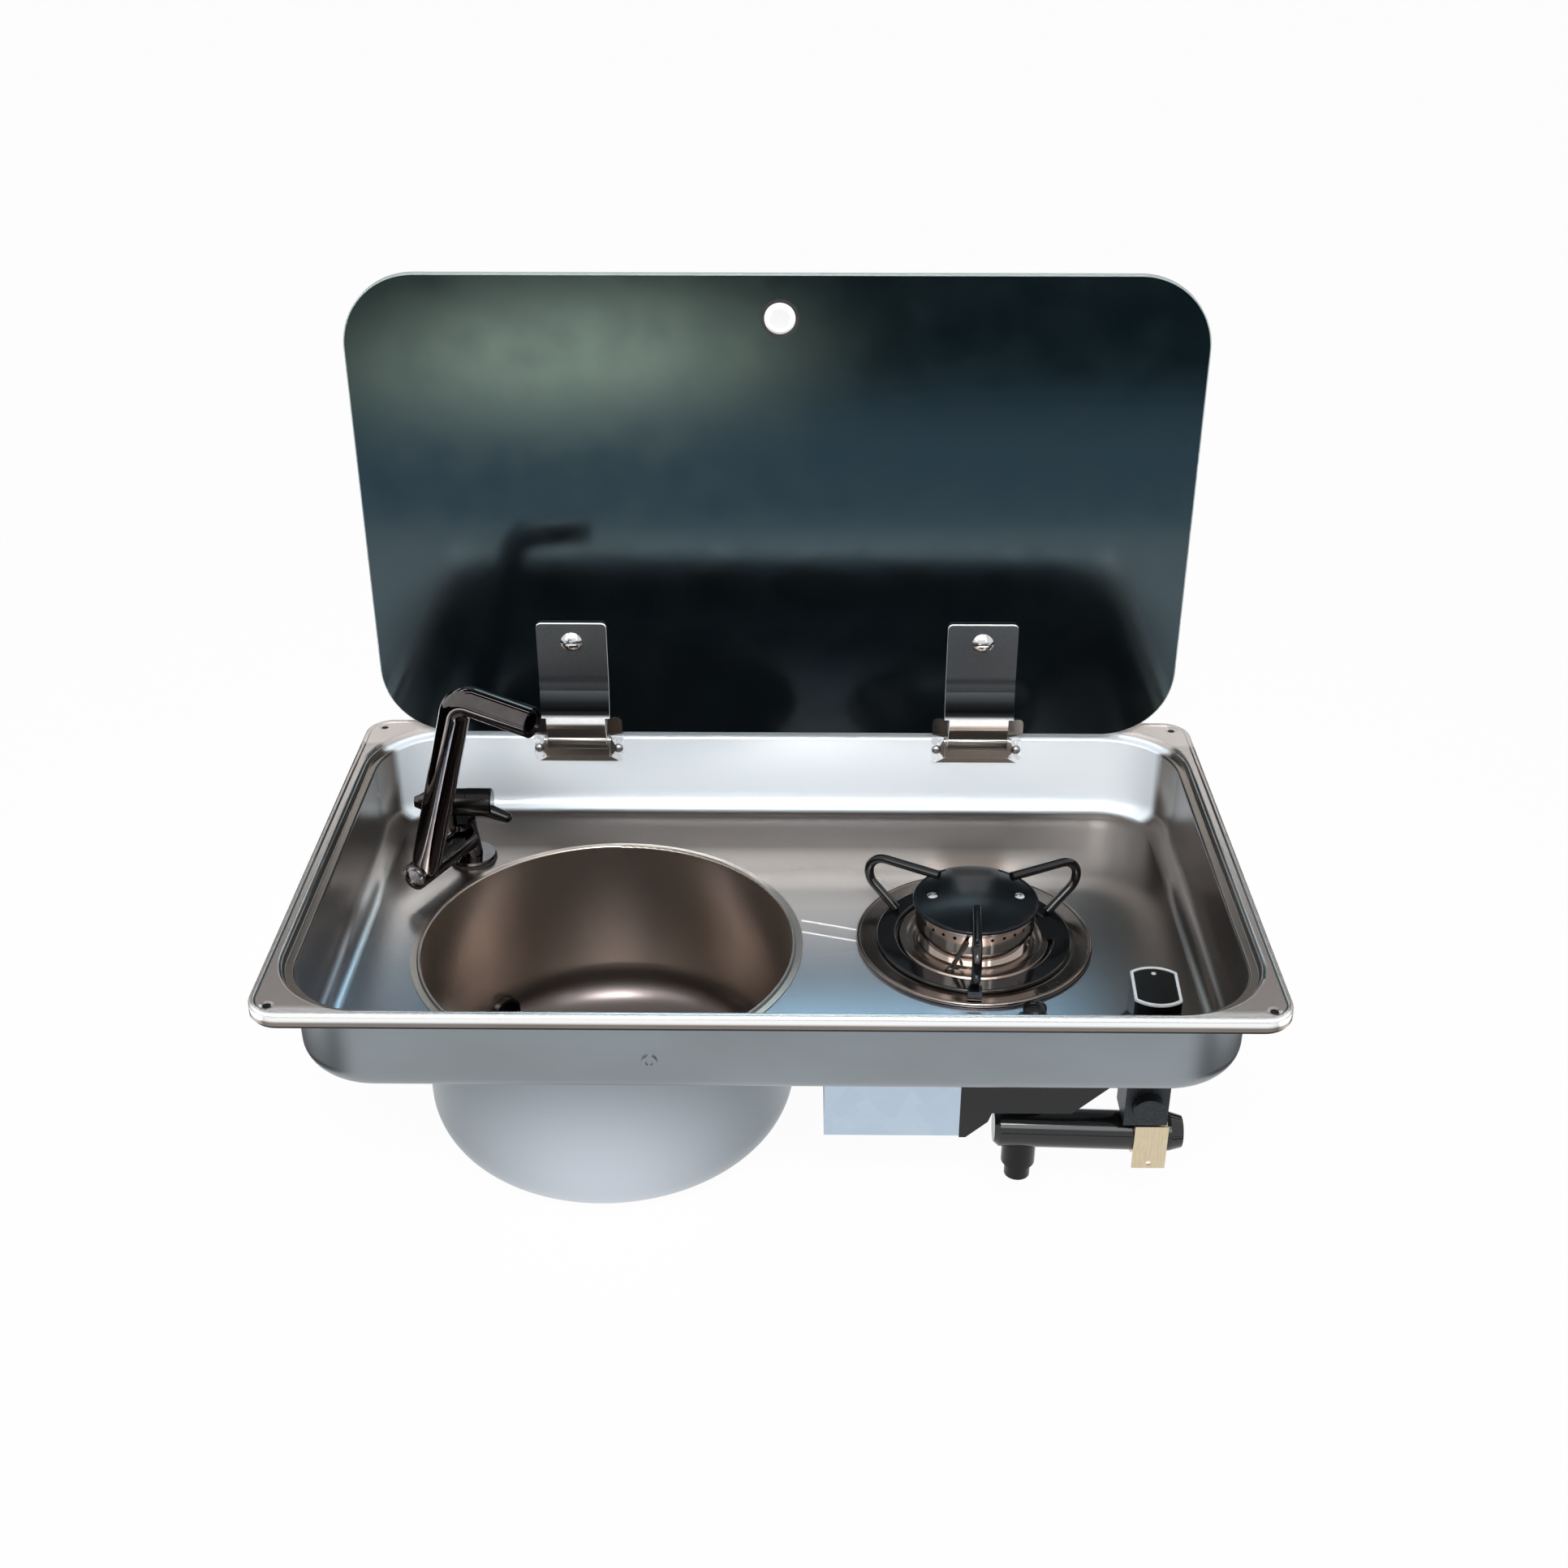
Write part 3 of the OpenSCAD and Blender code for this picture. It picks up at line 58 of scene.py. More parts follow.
# Places read from the frame
trayLow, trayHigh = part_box("tray")
bowlLow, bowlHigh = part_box("bowl")
crownLow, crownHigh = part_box("burner_crown")
glassLow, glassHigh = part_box("lid_glass")
capLow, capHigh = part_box("lid_knob_cap")
bowlAxis = (bowlLow + bowlHigh) / 2
burnerAxis = (crownLow + crownHigh) / 2
capMiddle = (capLow + capHigh) / 2
white = (1, 1, 1, 1)


# Shader helpers
def linearColour(hexText):  # sRGB hex to linear values
    parts = [int(hexText[i:i + 2], 16) / 255 for i in (1, 3, 5)]
    return [p / 12.92 if p <= 0.04045 else ((p + 0.055) / 1.055) ** 2.4 for p in parts] + [1.0]


def addNode(tree, kind, inputs=None, **settings):  # inputs are values or other nodes' outputs
    node = tree.nodes.new("ShaderNode" + kind)
    for name, value in settings.items():
        setattr(node, name, value)
    for name, value in (inputs or {}).items():
        if isinstance(value, bpy.types.NodeSocket):
            tree.links.new(value, node.inputs[name])
        else:
            node.inputs[name].default_value = value
    return node


def startMaterial(name, colour, metallic, roughness, **sockets):
    material = bpy.data.materials.new(name)
    material.use_nodes = True
    material.diffuse_color = linearColour(colour)
    tree = material.node_tree
    shader = tree.nodes["Principled BSDF"]
    shader.inputs["Base Color"].default_value = linearColour(colour)
    shader.inputs["Metallic"].default_value = metallic
    shader.inputs["Roughness"].default_value = roughness
    for socket, value in sockets.items():
        shader.inputs[socket.replace("_", " ")].default_value = value
    return material, tree, shader


def finish(tree, shader, colour=None, roughness=None, height=None, depthMm=0.0):
    if colour is not None:
        tree.links.new(colour, shader.inputs["Base Color"])
    if roughness is not None:
        tree.links.new(roughness, shader.inputs["Roughness"])
    if height is not None:
        bump = addNode(tree, "Bump", {"Height": height, "Distance": depthMm * mm, "Strength": 1.0})
        tree.links.new(bump.outputs[0], shader.inputs["Normal"])


def grain(tree, sizeMm, stretch=(1, 1, 1)):  # noise whose spots are about sizeMm wide
    place = addNode(tree, "TexCoord").outputs["Object"]
    scale = [1000 / (sizeMm * s) for s in stretch]
    spread = addNode(tree, "Mapping", {"Vector": place, "Scale": scale}).outputs[0]
    return addNode(tree, "TexNoise", {"Vector": spread, "Scale": 1.0, "Detail": 3.0}).outputs[0]


ringDrift = 12.0  # how fast the rings change on the way round


def spunGrain(tree, axis, sizeMm):  # rings round an upright axis, about sizeMm wide
    place = addNode(tree, "TexCoord").outputs["Object"]
    local = addNode(tree, "VectorMath", {0: place, 1: (axis.x, axis.y, 0)}, operation="SUBTRACT").outputs[0]
    flat = addNode(tree, "VectorMath", {0: local, 1: (1, 1, 0)}, operation="MULTIPLY").outputs[0]
    radius = addNode(tree, "VectorMath", {0: flat}, operation="LENGTH").outputs["Value"]
    height = addNode(tree, "SeparateXYZ", {0: local}).outputs["Z"]
    rings = addNode(tree, "CombineXYZ", {"X": radius, "Y": height}).outputs[0]
    fine = addNode(tree, "VectorMath", {0: rings, "Scale": 1000 / sizeMm}, operation="SCALE").outputs[0]
    turn = addNode(tree, "VectorMath", {0: local, "Scale": ringDrift}, operation="SCALE").outputs[0]
    both = addNode(tree, "VectorMath", {0: fine, 1: turn}, operation="ADD").outputs[0]
    return addNode(tree, "TexNoise", {"Vector": both, "Scale": 1.0, "Detail": 2.0}).outputs[0]


noiseMiddle = (0.3, 0.7)  # noise gathers round its middle, so only this part of it is spread out


def drift(tree, noise, low, high):  # a value or a colour that drifts between two with the noise
    isColour = isinstance(low, str)
    share = addNode(tree, "MapRange", {
        "Value": noise, "From Min": noiseMiddle[0], "From Max": noiseMiddle[1],
        "To Min": 0.0 if isColour else low, "To Max": 1.0 if isColour else high}).outputs[0]
    return layered(tree, low, (share, high)) if isColour else share


def layered(tree, base, *coats):  # each coat is a mask and the hex colour or output that it lays on
    colours = [linearColour(c) if isinstance(c, str) else c for c in (base, *[coat[1] for coat in coats])]
    below = colours[0]
    for coat, above in zip(coats, colours[1:]):
        below = addNode(tree, "Mix", {0: coat[0], 6: below, 7: above}, data_type="RGBA").outputs[2]
    return below


def ramp(tree, axis, stopsMm):  # colours along one axis of the piece, as (place in mm, colour)
    place = addNode(tree, "TexCoord").outputs["Object"]
    along = addNode(tree, "SeparateXYZ", {0: place}).outputs[axis]
    low, high = stopsMm[0][0], stopsMm[-1][0]
    share = addNode(tree, "MapRange", {"Value": along, "From Min": low * mm, "From Max": high * mm})
    node = addNode(tree, "ValToRGB", {0: share.outputs[0]})
    elements = node.color_ramp.elements
    while len(elements) < len(stopsMm):
        elements.new(0.5)
    for element, (stop, colour) in zip(elements, stopsMm):
        element.position = (stop - low) / (high - low)
        element.color = linearColour(colour)
    return node.outputs[0]


def region(tree, *edges):  # soft mask; each edge is an axis, where it starts and where it is full
    place = addNode(tree, "TexCoord").outputs["Object"]
    split = addNode(tree, "SeparateXYZ", {0: place}).outputs
    inside = 1.0
    for axis, start, full in edges:
        step = addNode(tree, "MapRange", {"Value": split[axis], "From Min": start, "From Max": full},
                       interpolation_type="SMOOTHSTEP").outputs[0]
        inside = addNode(tree, "Math", {0: inside, 1: step}, operation="MULTIPLY").outputs[0]
    return inside


def spot(tree, centre, inner, outer):  # soft mask, 1 near a point and 0 further out
    place = addNode(tree, "TexCoord").outputs["Object"]
    apart = addNode(tree, "VectorMath", {0: place, 1: centre}, operation="DISTANCE").outputs["Value"]
    near = addNode(tree, "MapRange", {"Value": apart, "From Min": inner, "From Max": outer, "To Min": 1.0,
                                      "To Max": 0.0}, interpolation_type="SMOOTHSTEP")
    return near.outputs[0]


# Materials, each named for what the real one is
traySteel = {
    "floorTones": [(-110, "#93a2b4"), (-40, "#a9b0b8"), (30, "#d8d2ce"), (75, "#a0958e"), (100, "#4b433e"),
                   (130, "#3d3632")],  # painted reflection and shade, front to back, mm from the tray's middle
    "floor": (12 * mm, 4 * mm),  # up from the tray's underside
    "rightEnd": (115 * mm, 50 * mm),  # painted shade, in from the right end
    "rearWall": (36.5 * mm, 29.5 * mm),  # painted pale sheen, in from the rear
    "rearWallFoot": (1.5 * mm, 3.5 * mm),  # up from the underside
    "rim": (5.5 * mm, 3.5 * mm),  # painted highlight, down from the top
    "frontRim": (10.5 * mm, 5.5 * mm),  # painted highlight, in from the front
    # a painted pool of light on the floor: its centre, height and reach
    "paleSpot": (30 * mm, 30 * mm), "glowUp": 1 * mm, "glowReach": (20 * mm, 130 * mm),
    "wallPaleness": 0.72, "floorPaleness": 0.34}  # shares of a whiter, less metallic look: the rear wall's painted sheen and the floor's painted pool of light


def satinStainless():  # 18/10 sheet, ground along its length, with painted reflection and shade: a dark floor, and painted highlights that make the rear wall and rim bright
    floorEdge = ("Z", *[trayLow.z + up for up in traySteel["floor"]])
    footEdge = ("Z", *[trayLow.z + up for up in traySteel["rearWallFoot"]])
    rimEdge = ("Z", *[trayHigh.z - down for down in traySteel["rim"]])
    rightEdge = ("X", *[trayHigh.x - inward for inward in traySteel["rightEnd"]])
    rearEdge = ("Y", *[trayHigh.y - inward for inward in traySteel["rearWall"]])
    frontEdge = ("Y", *[trayLow.y + inward for inward in traySteel["frontRim"]])
    paleSpot = (*traySteel["paleSpot"], trayLow.z + traySteel["glowUp"])
    material, tree, shader = startMaterial("satinStainless", "#a9a39e", 1.0, 0.26)
    streak = grain(tree, 0.8, (60, 1, 1))  # grit lines, drawn coarser than the real 0.05 mm
    onFloor = region(tree, floorEdge)
    rearWall = region(tree, rearEdge, footEdge)
    # painted reflection and shade: floor tones front to back, a shaded right end, a pale rear wall,
    # highlighted rim and front rim
    colour = layered(
        tree, drift(tree, grain(tree, 60), "#7d766f", "#877f79"),
        (onFloor, ramp(tree, "Y", traySteel["floorTones"])),
        (region(tree, rightEdge, floorEdge), "#6b625c"),
        (rearWall, "#dfe8ee"),
        (region(tree, rimEdge), "#bdb6b2"),
        (region(tree, frontEdge, rimEdge), "#fbfbfb"))
    # the floor's painted pool of light and the rear wall's painted sheen are made whiter and less metallic
    midFloor = addNode(tree, "Math", {0: spot(tree, paleSpot, *traySteel["glowReach"]), 1: onFloor},
                       operation="MULTIPLY").outputs[0]
    wallPart, floorPart = [
        addNode(tree, "Math", {0: mask, 1: traySteel[share]}, operation="MULTIPLY").outputs[0]
        for mask, share in ((rearWall, "wallPaleness"), (midFloor, "floorPaleness"))]
    paleness = addNode(tree, "Math", {0: wallPart, 1: floorPart}, operation="MAXIMUM").outputs[0]
    metal = addNode(tree, "Math", {0: 1.0, 1: paleness}, operation="SUBTRACT").outputs[0]
    tree.links.new(metal, shader.inputs["Metallic"])
    finish(tree, shader, colour, drift(tree, streak, 0.26, 0.27), streak, 0.0001)
    return material


def pickledStainless():  # the pressing's outside keeps its dull blue-grey mill skin
    material, tree, shader = startMaterial("pickledStainless", "#8b9296", 1.0, 0.36)
    speck = grain(tree, 0.8)
    cloud = grain(tree, 90, (1, 1, 0.5))
    finish(tree, shader, drift(tree, cloud, "#878d91", "#90979c"), drift(tree, speck, 0.35, 0.37),
           speck, 0.001)
    return material


# a painted highlight low on the bowl's front, and the painted shade on its floor
bowlSteel = {"glowForward": 95 * mm, "glowUp": 25 * mm, "glowReach": (10 * mm, 105 * mm),
             "floorShade": (35 * mm, 19 * mm)}  # up from the bowl's underside


def pickledBowlSteel():  # same skin on the drawn bowl, with a painted highlight making it lighter low on its front
    material, tree, shader = startMaterial("pickledBowlSteel", "#a6aeb6", 1.0, 0.34)
    speck = grain(tree, 0.8)
    centre = (bowlAxis.x, bowlAxis.y - bowlSteel["glowForward"], bowlLow.z + bowlSteel["glowUp"])
    colour = layered(tree, "#828a90", (spot(tree, centre, *bowlSteel["glowReach"]), "#c6cdd6"))
    finish(tree, shader, colour, drift(tree, speck, 0.33, 0.35), speck, 0.001)
    return material


def spunStainless():  # drawn and spun bowl: broad soft rings round its axis, and painted shade darker at the floor
    material, tree, shader = startMaterial("spunStainless", "#aea39a", 1.0, 0.27)
    ring = spunGrain(tree, bowlAxis, 7)  # far broader than the real 0.2 mm rings, too fine to show
    low = region(tree, ("Z", *[bowlLow.z + up for up in bowlSteel["floorShade"]]))
    finish(tree, shader, layered(tree, "#cbc0b5", (low, "#575150")), drift(tree, ring, 0.28, 0.285))
    return material


def drawnDishSteel():  # the dish has run hot: darker, with straw tints
    material, tree, shader = startMaterial("drawnDishSteel", "#8f857d", 1.0, 0.22)
    ring = spunGrain(tree, burnerAxis, 0.8)  # draw rings, coarser than the real 0.1 mm
    finish(tree, shader, drift(tree, grain(tree, 30), "#7d716a", "#8b7f77"),
           drift(tree, ring, 0.19, 0.21), ring, 0.0002)
    return material


strapFinish = {  # mm above the pane's lower edge: painted highlight and reflection bands, light and dark, where the strap's face is bent round
    "tones": [(0, "#85817d"), (8, "#8f8a85"), (10, "#fafafa"), (13.5, "#fafafa"), (16, "#3a3b3d"),
              (19, "#121314"), (24, "#2c2e30"), (36, "#7b7f83"), (39, "#5c6064"), (42, "#85898d"),
              (80, "#8d9195")],
    # metallic share, low across the painted white highlight band
    "metal": [(8, "#ffffff"), (10, "#303030"), (13.5, "#303030"), (16, "#ffffff")],
    "speckRange": (0.35, 0.65), "speckShade": (0.82, 1.0)}


def grainedStrapSteel():  # strap face, ground coarse: dark grey with fine speckle, under painted highlight and reflection bands
    material, tree, shader = startMaterial("grainedStrapSteel", "#7b7e81", 1.0, 0.34)
    speck = grain(tree, 0.5)
    foot = glassLow.z / mm
    # painted highlight and reflection bands up the strap, and their metallic share
    rolled, metal = [ramp(tree, "Z", [(foot + up, tone) for up, tone in strapFinish[name]])
                     for name in ("tones", "metal")]
    (dull, clear), (dark, light) = strapFinish["speckRange"], strapFinish["speckShade"]
    shade = addNode(tree, "MapRange", {"Value": speck, "From Min": dull, "From Max": clear,
                                       "To Min": dark, "To Max": light}).outputs[0]
    speckled = addNode(tree, "VectorMath", {0: rolled, "Scale": shade}, operation="SCALE").outputs[0]
    tree.links.new(metal, shader.inputs["Metallic"])
    finish(tree, shader, speckled, drift(tree, speck, 0.28, 0.36), speck, 0.004)
    return material


def brightEdge():  # painted highlight on edges: near white, glowing a little so that their thin line shows
    material, tree, shader = startMaterial("brightEdge", "#fbfcfd", 0.0, 0.2, Emission_Strength=0.3,
                                           Emission_Color=white)
    finish(tree, shader, None, drift(tree, grain(tree, 1.5), 0.18, 0.22))
    return material


def whitePassivate():  # the bracket's bright zinc plate: pale, with a soft sheen
    material, tree, shader = startMaterial("whitePassivate", "#dfe5ea", 0.35, 0.28)
    bloom = grain(tree, 4)
    finish(tree, shader, drift(tree, bloom, "#d6dde3", "#e8edf1"), drift(tree, bloom, 0.24, 0.32),
           grain(tree, 1.2), 0.0008)
    return material


def polishedStainless():  # barrel polished small parts: bright, with faint handling marks
    material, tree, shader = startMaterial("polishedStainless", "#d2d2d2", 1.0, 0.12)
    finish(tree, shader, None, drift(tree, grain(tree, 2.5), 0.1, 0.15), grain(tree, 1.2), 0.0008)
    return material


def brightChrome():  # plated over nickel: a deep mirror with faint wipe marks
    material, tree, shader = startMaterial("brightChrome", "#5b5757", 1.0, 0.04)
    mark = grain(tree, 6)
    finish(tree, shader, drift(tree, mark, "#575353", "#605c5c"), drift(tree, mark, 0.03, 0.05),
           grain(tree, 9), 0.002)
    return material


def machinedAlloy():  # cast crown, turned bright: tool rings
    material, tree, shader = startMaterial("machinedAlloy", "#cdc0b7", 1.0, 0.14)
    ring = spunGrain(tree, burnerAxis, 0.5)  # tool rings, coarser than the real 0.1 mm
    finish(tree, shader, drift(tree, ring, "#c4bcb6", "#cec6c1"), drift(tree, ring, 0.1, 0.12),
           ring, 0.0001)
    return material


def vitreousEnamel():  # fired satin black enamel: slight orange peel, and a low IOR for its deep black
    material, tree, shader = startMaterial("vitreousEnamel", "#0b0e11", 0.0, 0.2, IOR=1.33)
    peel = grain(tree, 0.6)
    finish(tree, shader, drift(tree, grain(tree, 12), "#090c0f", "#0e1216"),
           drift(tree, peel, 0.2, 0.24), peel, 0.002)
    return material


def glossEnamel():  # wire support, dipped and fired: wet black gloss
    material, tree, shader = startMaterial("glossEnamel", "#0b0b0c", 0.0, 0.16, IOR=1.52)
    peel = grain(tree, 1.5)
    finish(tree, shader, None, drift(tree, peel, 0.1, 0.14), peel, 0.003)
    return material


def mouldedAbs():  # black ABS, moulded glossy
    material, tree, shader = startMaterial("mouldedAbs", "#030303", 0.0, 0.2, IOR=1.36)
    skin = grain(tree, 0.5)
    finish(tree, shader, None, drift(tree, skin, 0.18, 0.22), skin, 0.001)
    return material


def printedGreyRing():  # hot foil ring and dot on the knob: flat grey
    material, tree, shader = startMaterial("printedGreyRing", "#b4b7ba", 0.0, 0.35, IOR=1.5)
    finish(tree, shader, drift(tree, grain(tree, 0.6), "#aeb1b4", "#bcbfc2"))
    return material


def whiteAcetal():  # turned acetal knob: satin white
    material, tree, shader = startMaterial("whiteAcetal", "#ecebea", 0.0, 0.3, IOR=1.48)
    skin = grain(tree, 0.8)
    finish(tree, shader, None, drift(tree, skin, 0.26, 0.36), skin, 0.004)
    return material


def greyAcetal():  # the knob's sunk disc: a shade greyer and duller
    material, tree, shader = startMaterial("greyAcetal", "#cfcfce", 0.0, 0.4, IOR=1.48)
    skin = grain(tree, 0.8)
    finish(tree, shader, None, drift(tree, skin, 0.34, 0.46), skin, 0.006)
    return material


def epdmRubber():  # extruded seal: matt black with a dusty bloom
    material, tree, shader = startMaterial("epdmRubber", "#1b1b1c", 0.0, 0.75, IOR=1.52)
    finish(tree, shader, drift(tree, grain(tree, 3), "#161617", "#242425"), None, grain(tree, 0.4), 0.02)
    return material


def turnedBrass():  # bar stock off the lathe: warm, with tool lines round it
    material, tree, shader = startMaterial("turnedBrass", "#c9a45c", 1.0, 0.25)
    tool = grain(tree, 0.4, (1, 1, 0.3))
    finish(tree, shader, None, drift(tree, tool, 0.18, 0.32), tool, 0.006)
    return material


def drawnCopper():  # annealed tube, gone a little brown
    material, tree, shader = startMaterial("drawnCopper", "#b5714a", 1.0, 0.3)
    tarnish = grain(tree, 12)
    finish(tree, shader, drift(tree, tarnish, "#9c5f40", "#c27d55"), drift(tree, tarnish, 0.24, 0.4),
           grain(tree, 0.8), 0.006)
    return material


def glazedSteatite():  # dark glazed ceramic electrode
    material, tree, shader = startMaterial("glazedSteatite", "#2a2420", 0.0, 0.18, IOR=1.55)
    finish(tree, shader, drift(tree, grain(tree, 2), "#241f1b", "#352d27"))
    return material


def diecastZinc():  # valve body: dark shot-blasted casting
    material, tree, shader = startMaterial("diecastZinc", "#3a3d40", 1.0, 0.45)
    blast = grain(tree, 0.7)
    finish(tree, shader, drift(tree, blast, "#303336", "#46494c"), drift(tree, blast, 0.38, 0.54),
           blast, 0.03)
    return material


def springWire():  # drawn spring and pin steel: lines along the draw
    material, tree, shader = startMaterial("springWire", "#9b9c9e", 1.0, 0.28)
    draw = grain(tree, 0.3, (1, 1, 12))
    finish(tree, shader, None, drift(tree, draw, 0.2, 0.34), draw, 0.004)
    return material


def blackPowderCoat():  # bracket: powder coat with a fine texture
    material, tree, shader = startMaterial("blackPowderCoat", "#0c0d0f", 0.0, 0.3, IOR=1.45)
    peel = grain(tree, 1.1)
    finish(tree, shader, None, drift(tree, peel, 0.27, 0.33), peel, 0.004)
    return material


def blackGlossPaint():  # rail: stoved gloss, one clean highlight
    material, tree, shader = startMaterial("blackGlossPaint", "#0c0d0f", 0.0, 0.12, IOR=1.55)
    peel = grain(tree, 4)
    finish(tree, shader, None, drift(tree, peel, 0.08, 0.12), peel, 0.004)
    return material


def zincCoatedSheet():  # heat shield: pale blue-grey galvanised sheet, spangle about 9 mm wide
    material, tree, shader = startMaterial("zincCoatedSheet", "#d2dde8", 1.0, 0.42)
    place = addNode(tree, "TexCoord").outputs["Object"]
    spangle = addNode(tree, "TexVoronoi", {"Vector": place, "Scale": 1000 / 9}).outputs["Color"]
    shade = addNode(tree, "SeparateColor", {0: spangle}).outputs[0]
    speck = grain(tree, 0.8)
    finish(tree, shader, layered(tree, "#b6c6d6", (shade, "#bccbd9")), drift(tree, speck, 0.4, 0.44),
           speck, 0.002)
    return material


def yellowPassivate():  # clip: brushed zinc with a beige-gold passivate
    material, tree, shader = startMaterial("yellowPassivate", "#d2c2a4", 1.0, 0.24)
    streak = grain(tree, 0.6, (1, 1, 14))  # brush lines, coarser than the real 0.05 mm
    finish(tree, shader, drift(tree, streak, "#cbbb9d", "#d9cbb0"), drift(tree, streak, 0.21, 0.26),
           streak, 0.001)
    return material


glassSheen = {"darkHalf": (236 * mm, 116 * mm),  # half width and height of the dim part of the painted sheen
              "fade": (0.75, 1.3), "inside": "#59656c", "outside": "#cef1ff"}


def backPaintedGlass():  # toughened glass, black paint behind: a painted cool sheen on its reflections, dimmer low on the pane
    material, tree, shader = startMaterial("backPaintedGlass", "#06090a", 0.0, 0.1, IOR=1.9)
    haze = grain(tree, 25)
    place = addNode(tree, "TexCoord").outputs["Object"]
    halfX, halfZ = glassSheen["darkHalf"]
    part = addNode(tree, "VectorMath", {0: place, 1: (1 / halfX, 0, 1 / halfZ)},
                   operation="MULTIPLY").outputs[0]
    square = addNode(tree, "VectorMath", {0: part, 1: part}, operation="MULTIPLY").outputs[0]
    reach = addNode(tree, "VectorMath", {0: square}, operation="LENGTH").outputs["Value"]
    inner, outer = glassSheen["fade"]
    away = addNode(tree, "MapRange", {"Value": reach, "From Min": inner, "From Max": outer},
                   interpolation_type="SMOOTHSTEP").outputs[0]
    # painted sheen: the reflection's tint, dim inside the patch and bright outside
    sheen = layered(tree, glassSheen["inside"], (away, glassSheen["outside"]))
    tree.links.new(sheen, shader.inputs["Specular Tint"])
    finish(tree, shader, drift(tree, haze, "#05080a", "#080c0e"), drift(tree, haze, 0.1, 0.15),
           grain(tree, 140), 0.2)
    return material


def groundGlassEdge():  # the glass's ground edge scatters light: pale green-grey
    material, tree, shader = startMaterial("groundGlassEdge", "#9aa6a4", 0.0, 0.35, IOR=1.52)
    grit = grain(tree, 0.4)
    finish(tree, shader, drift(tree, grit, "#8b9795", "#a9b4b2"), drift(tree, grit, 0.3, 0.42),
           grit, 0.01)
    return material


# Dressing the pieces
def dress(material, *names):
    for name in names:
        mesh = nodes[name].data
        mesh.materials.clear()
        mesh.materials.append(material)


def dressFaces(name, materials, pick):  # several finishes on one solid, picked face by face
    mesh = nodes[name].data
    mesh.materials.clear()
    for material in materials:
        mesh.materials.append(material)
    for face in mesh.polygons:
        face.material_index = int(pick(face.center, face.normal))


# The two pressings: bright inside, mill skin on the outside
pressing = {"rimDepth": 7 * mm, "outward": 0.2, "trayDown": -0.5, "bowlDown": -0.4}


def facesAway(fromAxis, normal):
    flat = Vector((fromAxis.x, fromAxis.y, 0))
    return flat.dot(normal) > pressing["outward"] * flat.length


def isTrayOutside(centre, normal):
    outside = facesAway(centre, normal) or normal.z < pressing["trayDown"]
    return outside and centre.z <= -pressing["rimDepth"]


def isBowlOutside(centre, normal):
    return facesAway(centre - bowlAxis, normal) or normal.z < pressing["bowlDown"]


pickled = pickledStainless()
dressFaces("tray", [satinStainless(), pickled], isTrayOutside)
dressFaces("bowl", [spunStainless(), pickledBowlSteel()], isBowlOutside)
dress(pickled, "front_wall_rivet")
print("pressings dressed")

# Hinges: ground straps, plated brackets, and rounded edges painted with a thin bright highlight line
hinge = {"straight": 0.7, "panelLap": 1 * mm, "strapEdge": 0.9 * mm, "bracketEdge": 0.35 * mm, "steps": 2,
         "cornerAngle": 50, "weld": 0.002 * mm}


def softenEdges(name, width):  # the bevel takes the material in slot 1
    weld = nodes[name].modifiers.new("joinSeams", "WELD")  # joins the CAD mesh's doubled points
    weld.merge_threshold = hinge["weld"]
    bevel = nodes[name].modifiers.new("edgeRound", "BEVEL")
    bevel.width = width
    bevel.segments = hinge["steps"]
    bevel.limit_method = "ANGLE"
    bevel.angle_limit = math.radians(hinge["cornerAngle"])
    bevel.harden_normals = True
    bevel.material = 1


strapSteel = grainedStrapSteel()
edgeSteel = brightEdge()
plate = whitePassivate()
for side in ("left", "right"):
    strapName, bracketName = "hinge_strap_" + side, "hinge_bracket_" + side
    strapLow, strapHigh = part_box(strapName)
    panelLow, panelHigh = strapLow.x - hinge["panelLap"], strapHigh.x + hinge["panelLap"]
    # the strap's sides and top carry the painted edge highlight
    dressFaces(strapName, [strapSteel, edgeSteel],
               lambda centre, normal: abs(normal.x) > hinge["straight"] or normal.z > hinge["straight"])
    dressFaces(bracketName, [strapSteel, edgeSteel, plate],
               lambda centre, normal: 0 if panelLow < centre.x < panelHigh else 2)
    softenEdges(strapName, hinge["strapEdge"])
    softenEdges(bracketName, hinge["bracketEdge"])
print("hinges dressed")

wire = springWire()
rubber = epdmRubber()
acetal = whiteAcetal()
dress(polishedStainless(), "clamp_plates", "strap_screws", "strap_cap_nuts", "cap_rivets")
dress(wire, "bracket_rivets", "hinge_pin_left", "hinge_pin_right", "valve_spring", "igniter_spring",
      "swivel_screw", "valve_spindle")
dress(rubber, "lid_knob_washers", "rim_seal", "tap_base_seal", "tap_washer")
dress(drawnDishSteel(), "burner_dish")
dress(machinedAlloy(), "burner_crown", "burner_base")
dress(vitreousEnamel(), "burner_cap")
dress(glossEnamel(), "pan_support")
dress(glazedSteatite(), "ignition_electrode")
dress(drawnCopper(), "thermocouple", "burner_feed_pipe")
dress(turnedBrass(), "injector", "valve_plunger", "tap_spindle", "tap_nut", "tap_tail")
dress(diecastZinc(), "gas_valve_body")
dress(mouldedAbs(), "gas_knob", "knob_bezel", "igniter_body", "igniter_nut", "igniter_button", "tap_gland",
      "tap_handle", "waste_spigot", "outlet_nozzle", "gas_hose_tail")
dress(printedGreyRing(), "knob_trim")
dress(blackGlossPaint(), "gas_rail")
dress(yellowPassivate(), "pipe_clip")
dress(blackPowderCoat(), "valve_bracket")
dress(zincCoatedSheet(), "heat_shield_box")
dress(brightChrome(), "tap_body", "spout", "swivel_sleeve", "tap_cap")
dress(acetal, "lid_knob")
discRadius = 5.6 * mm
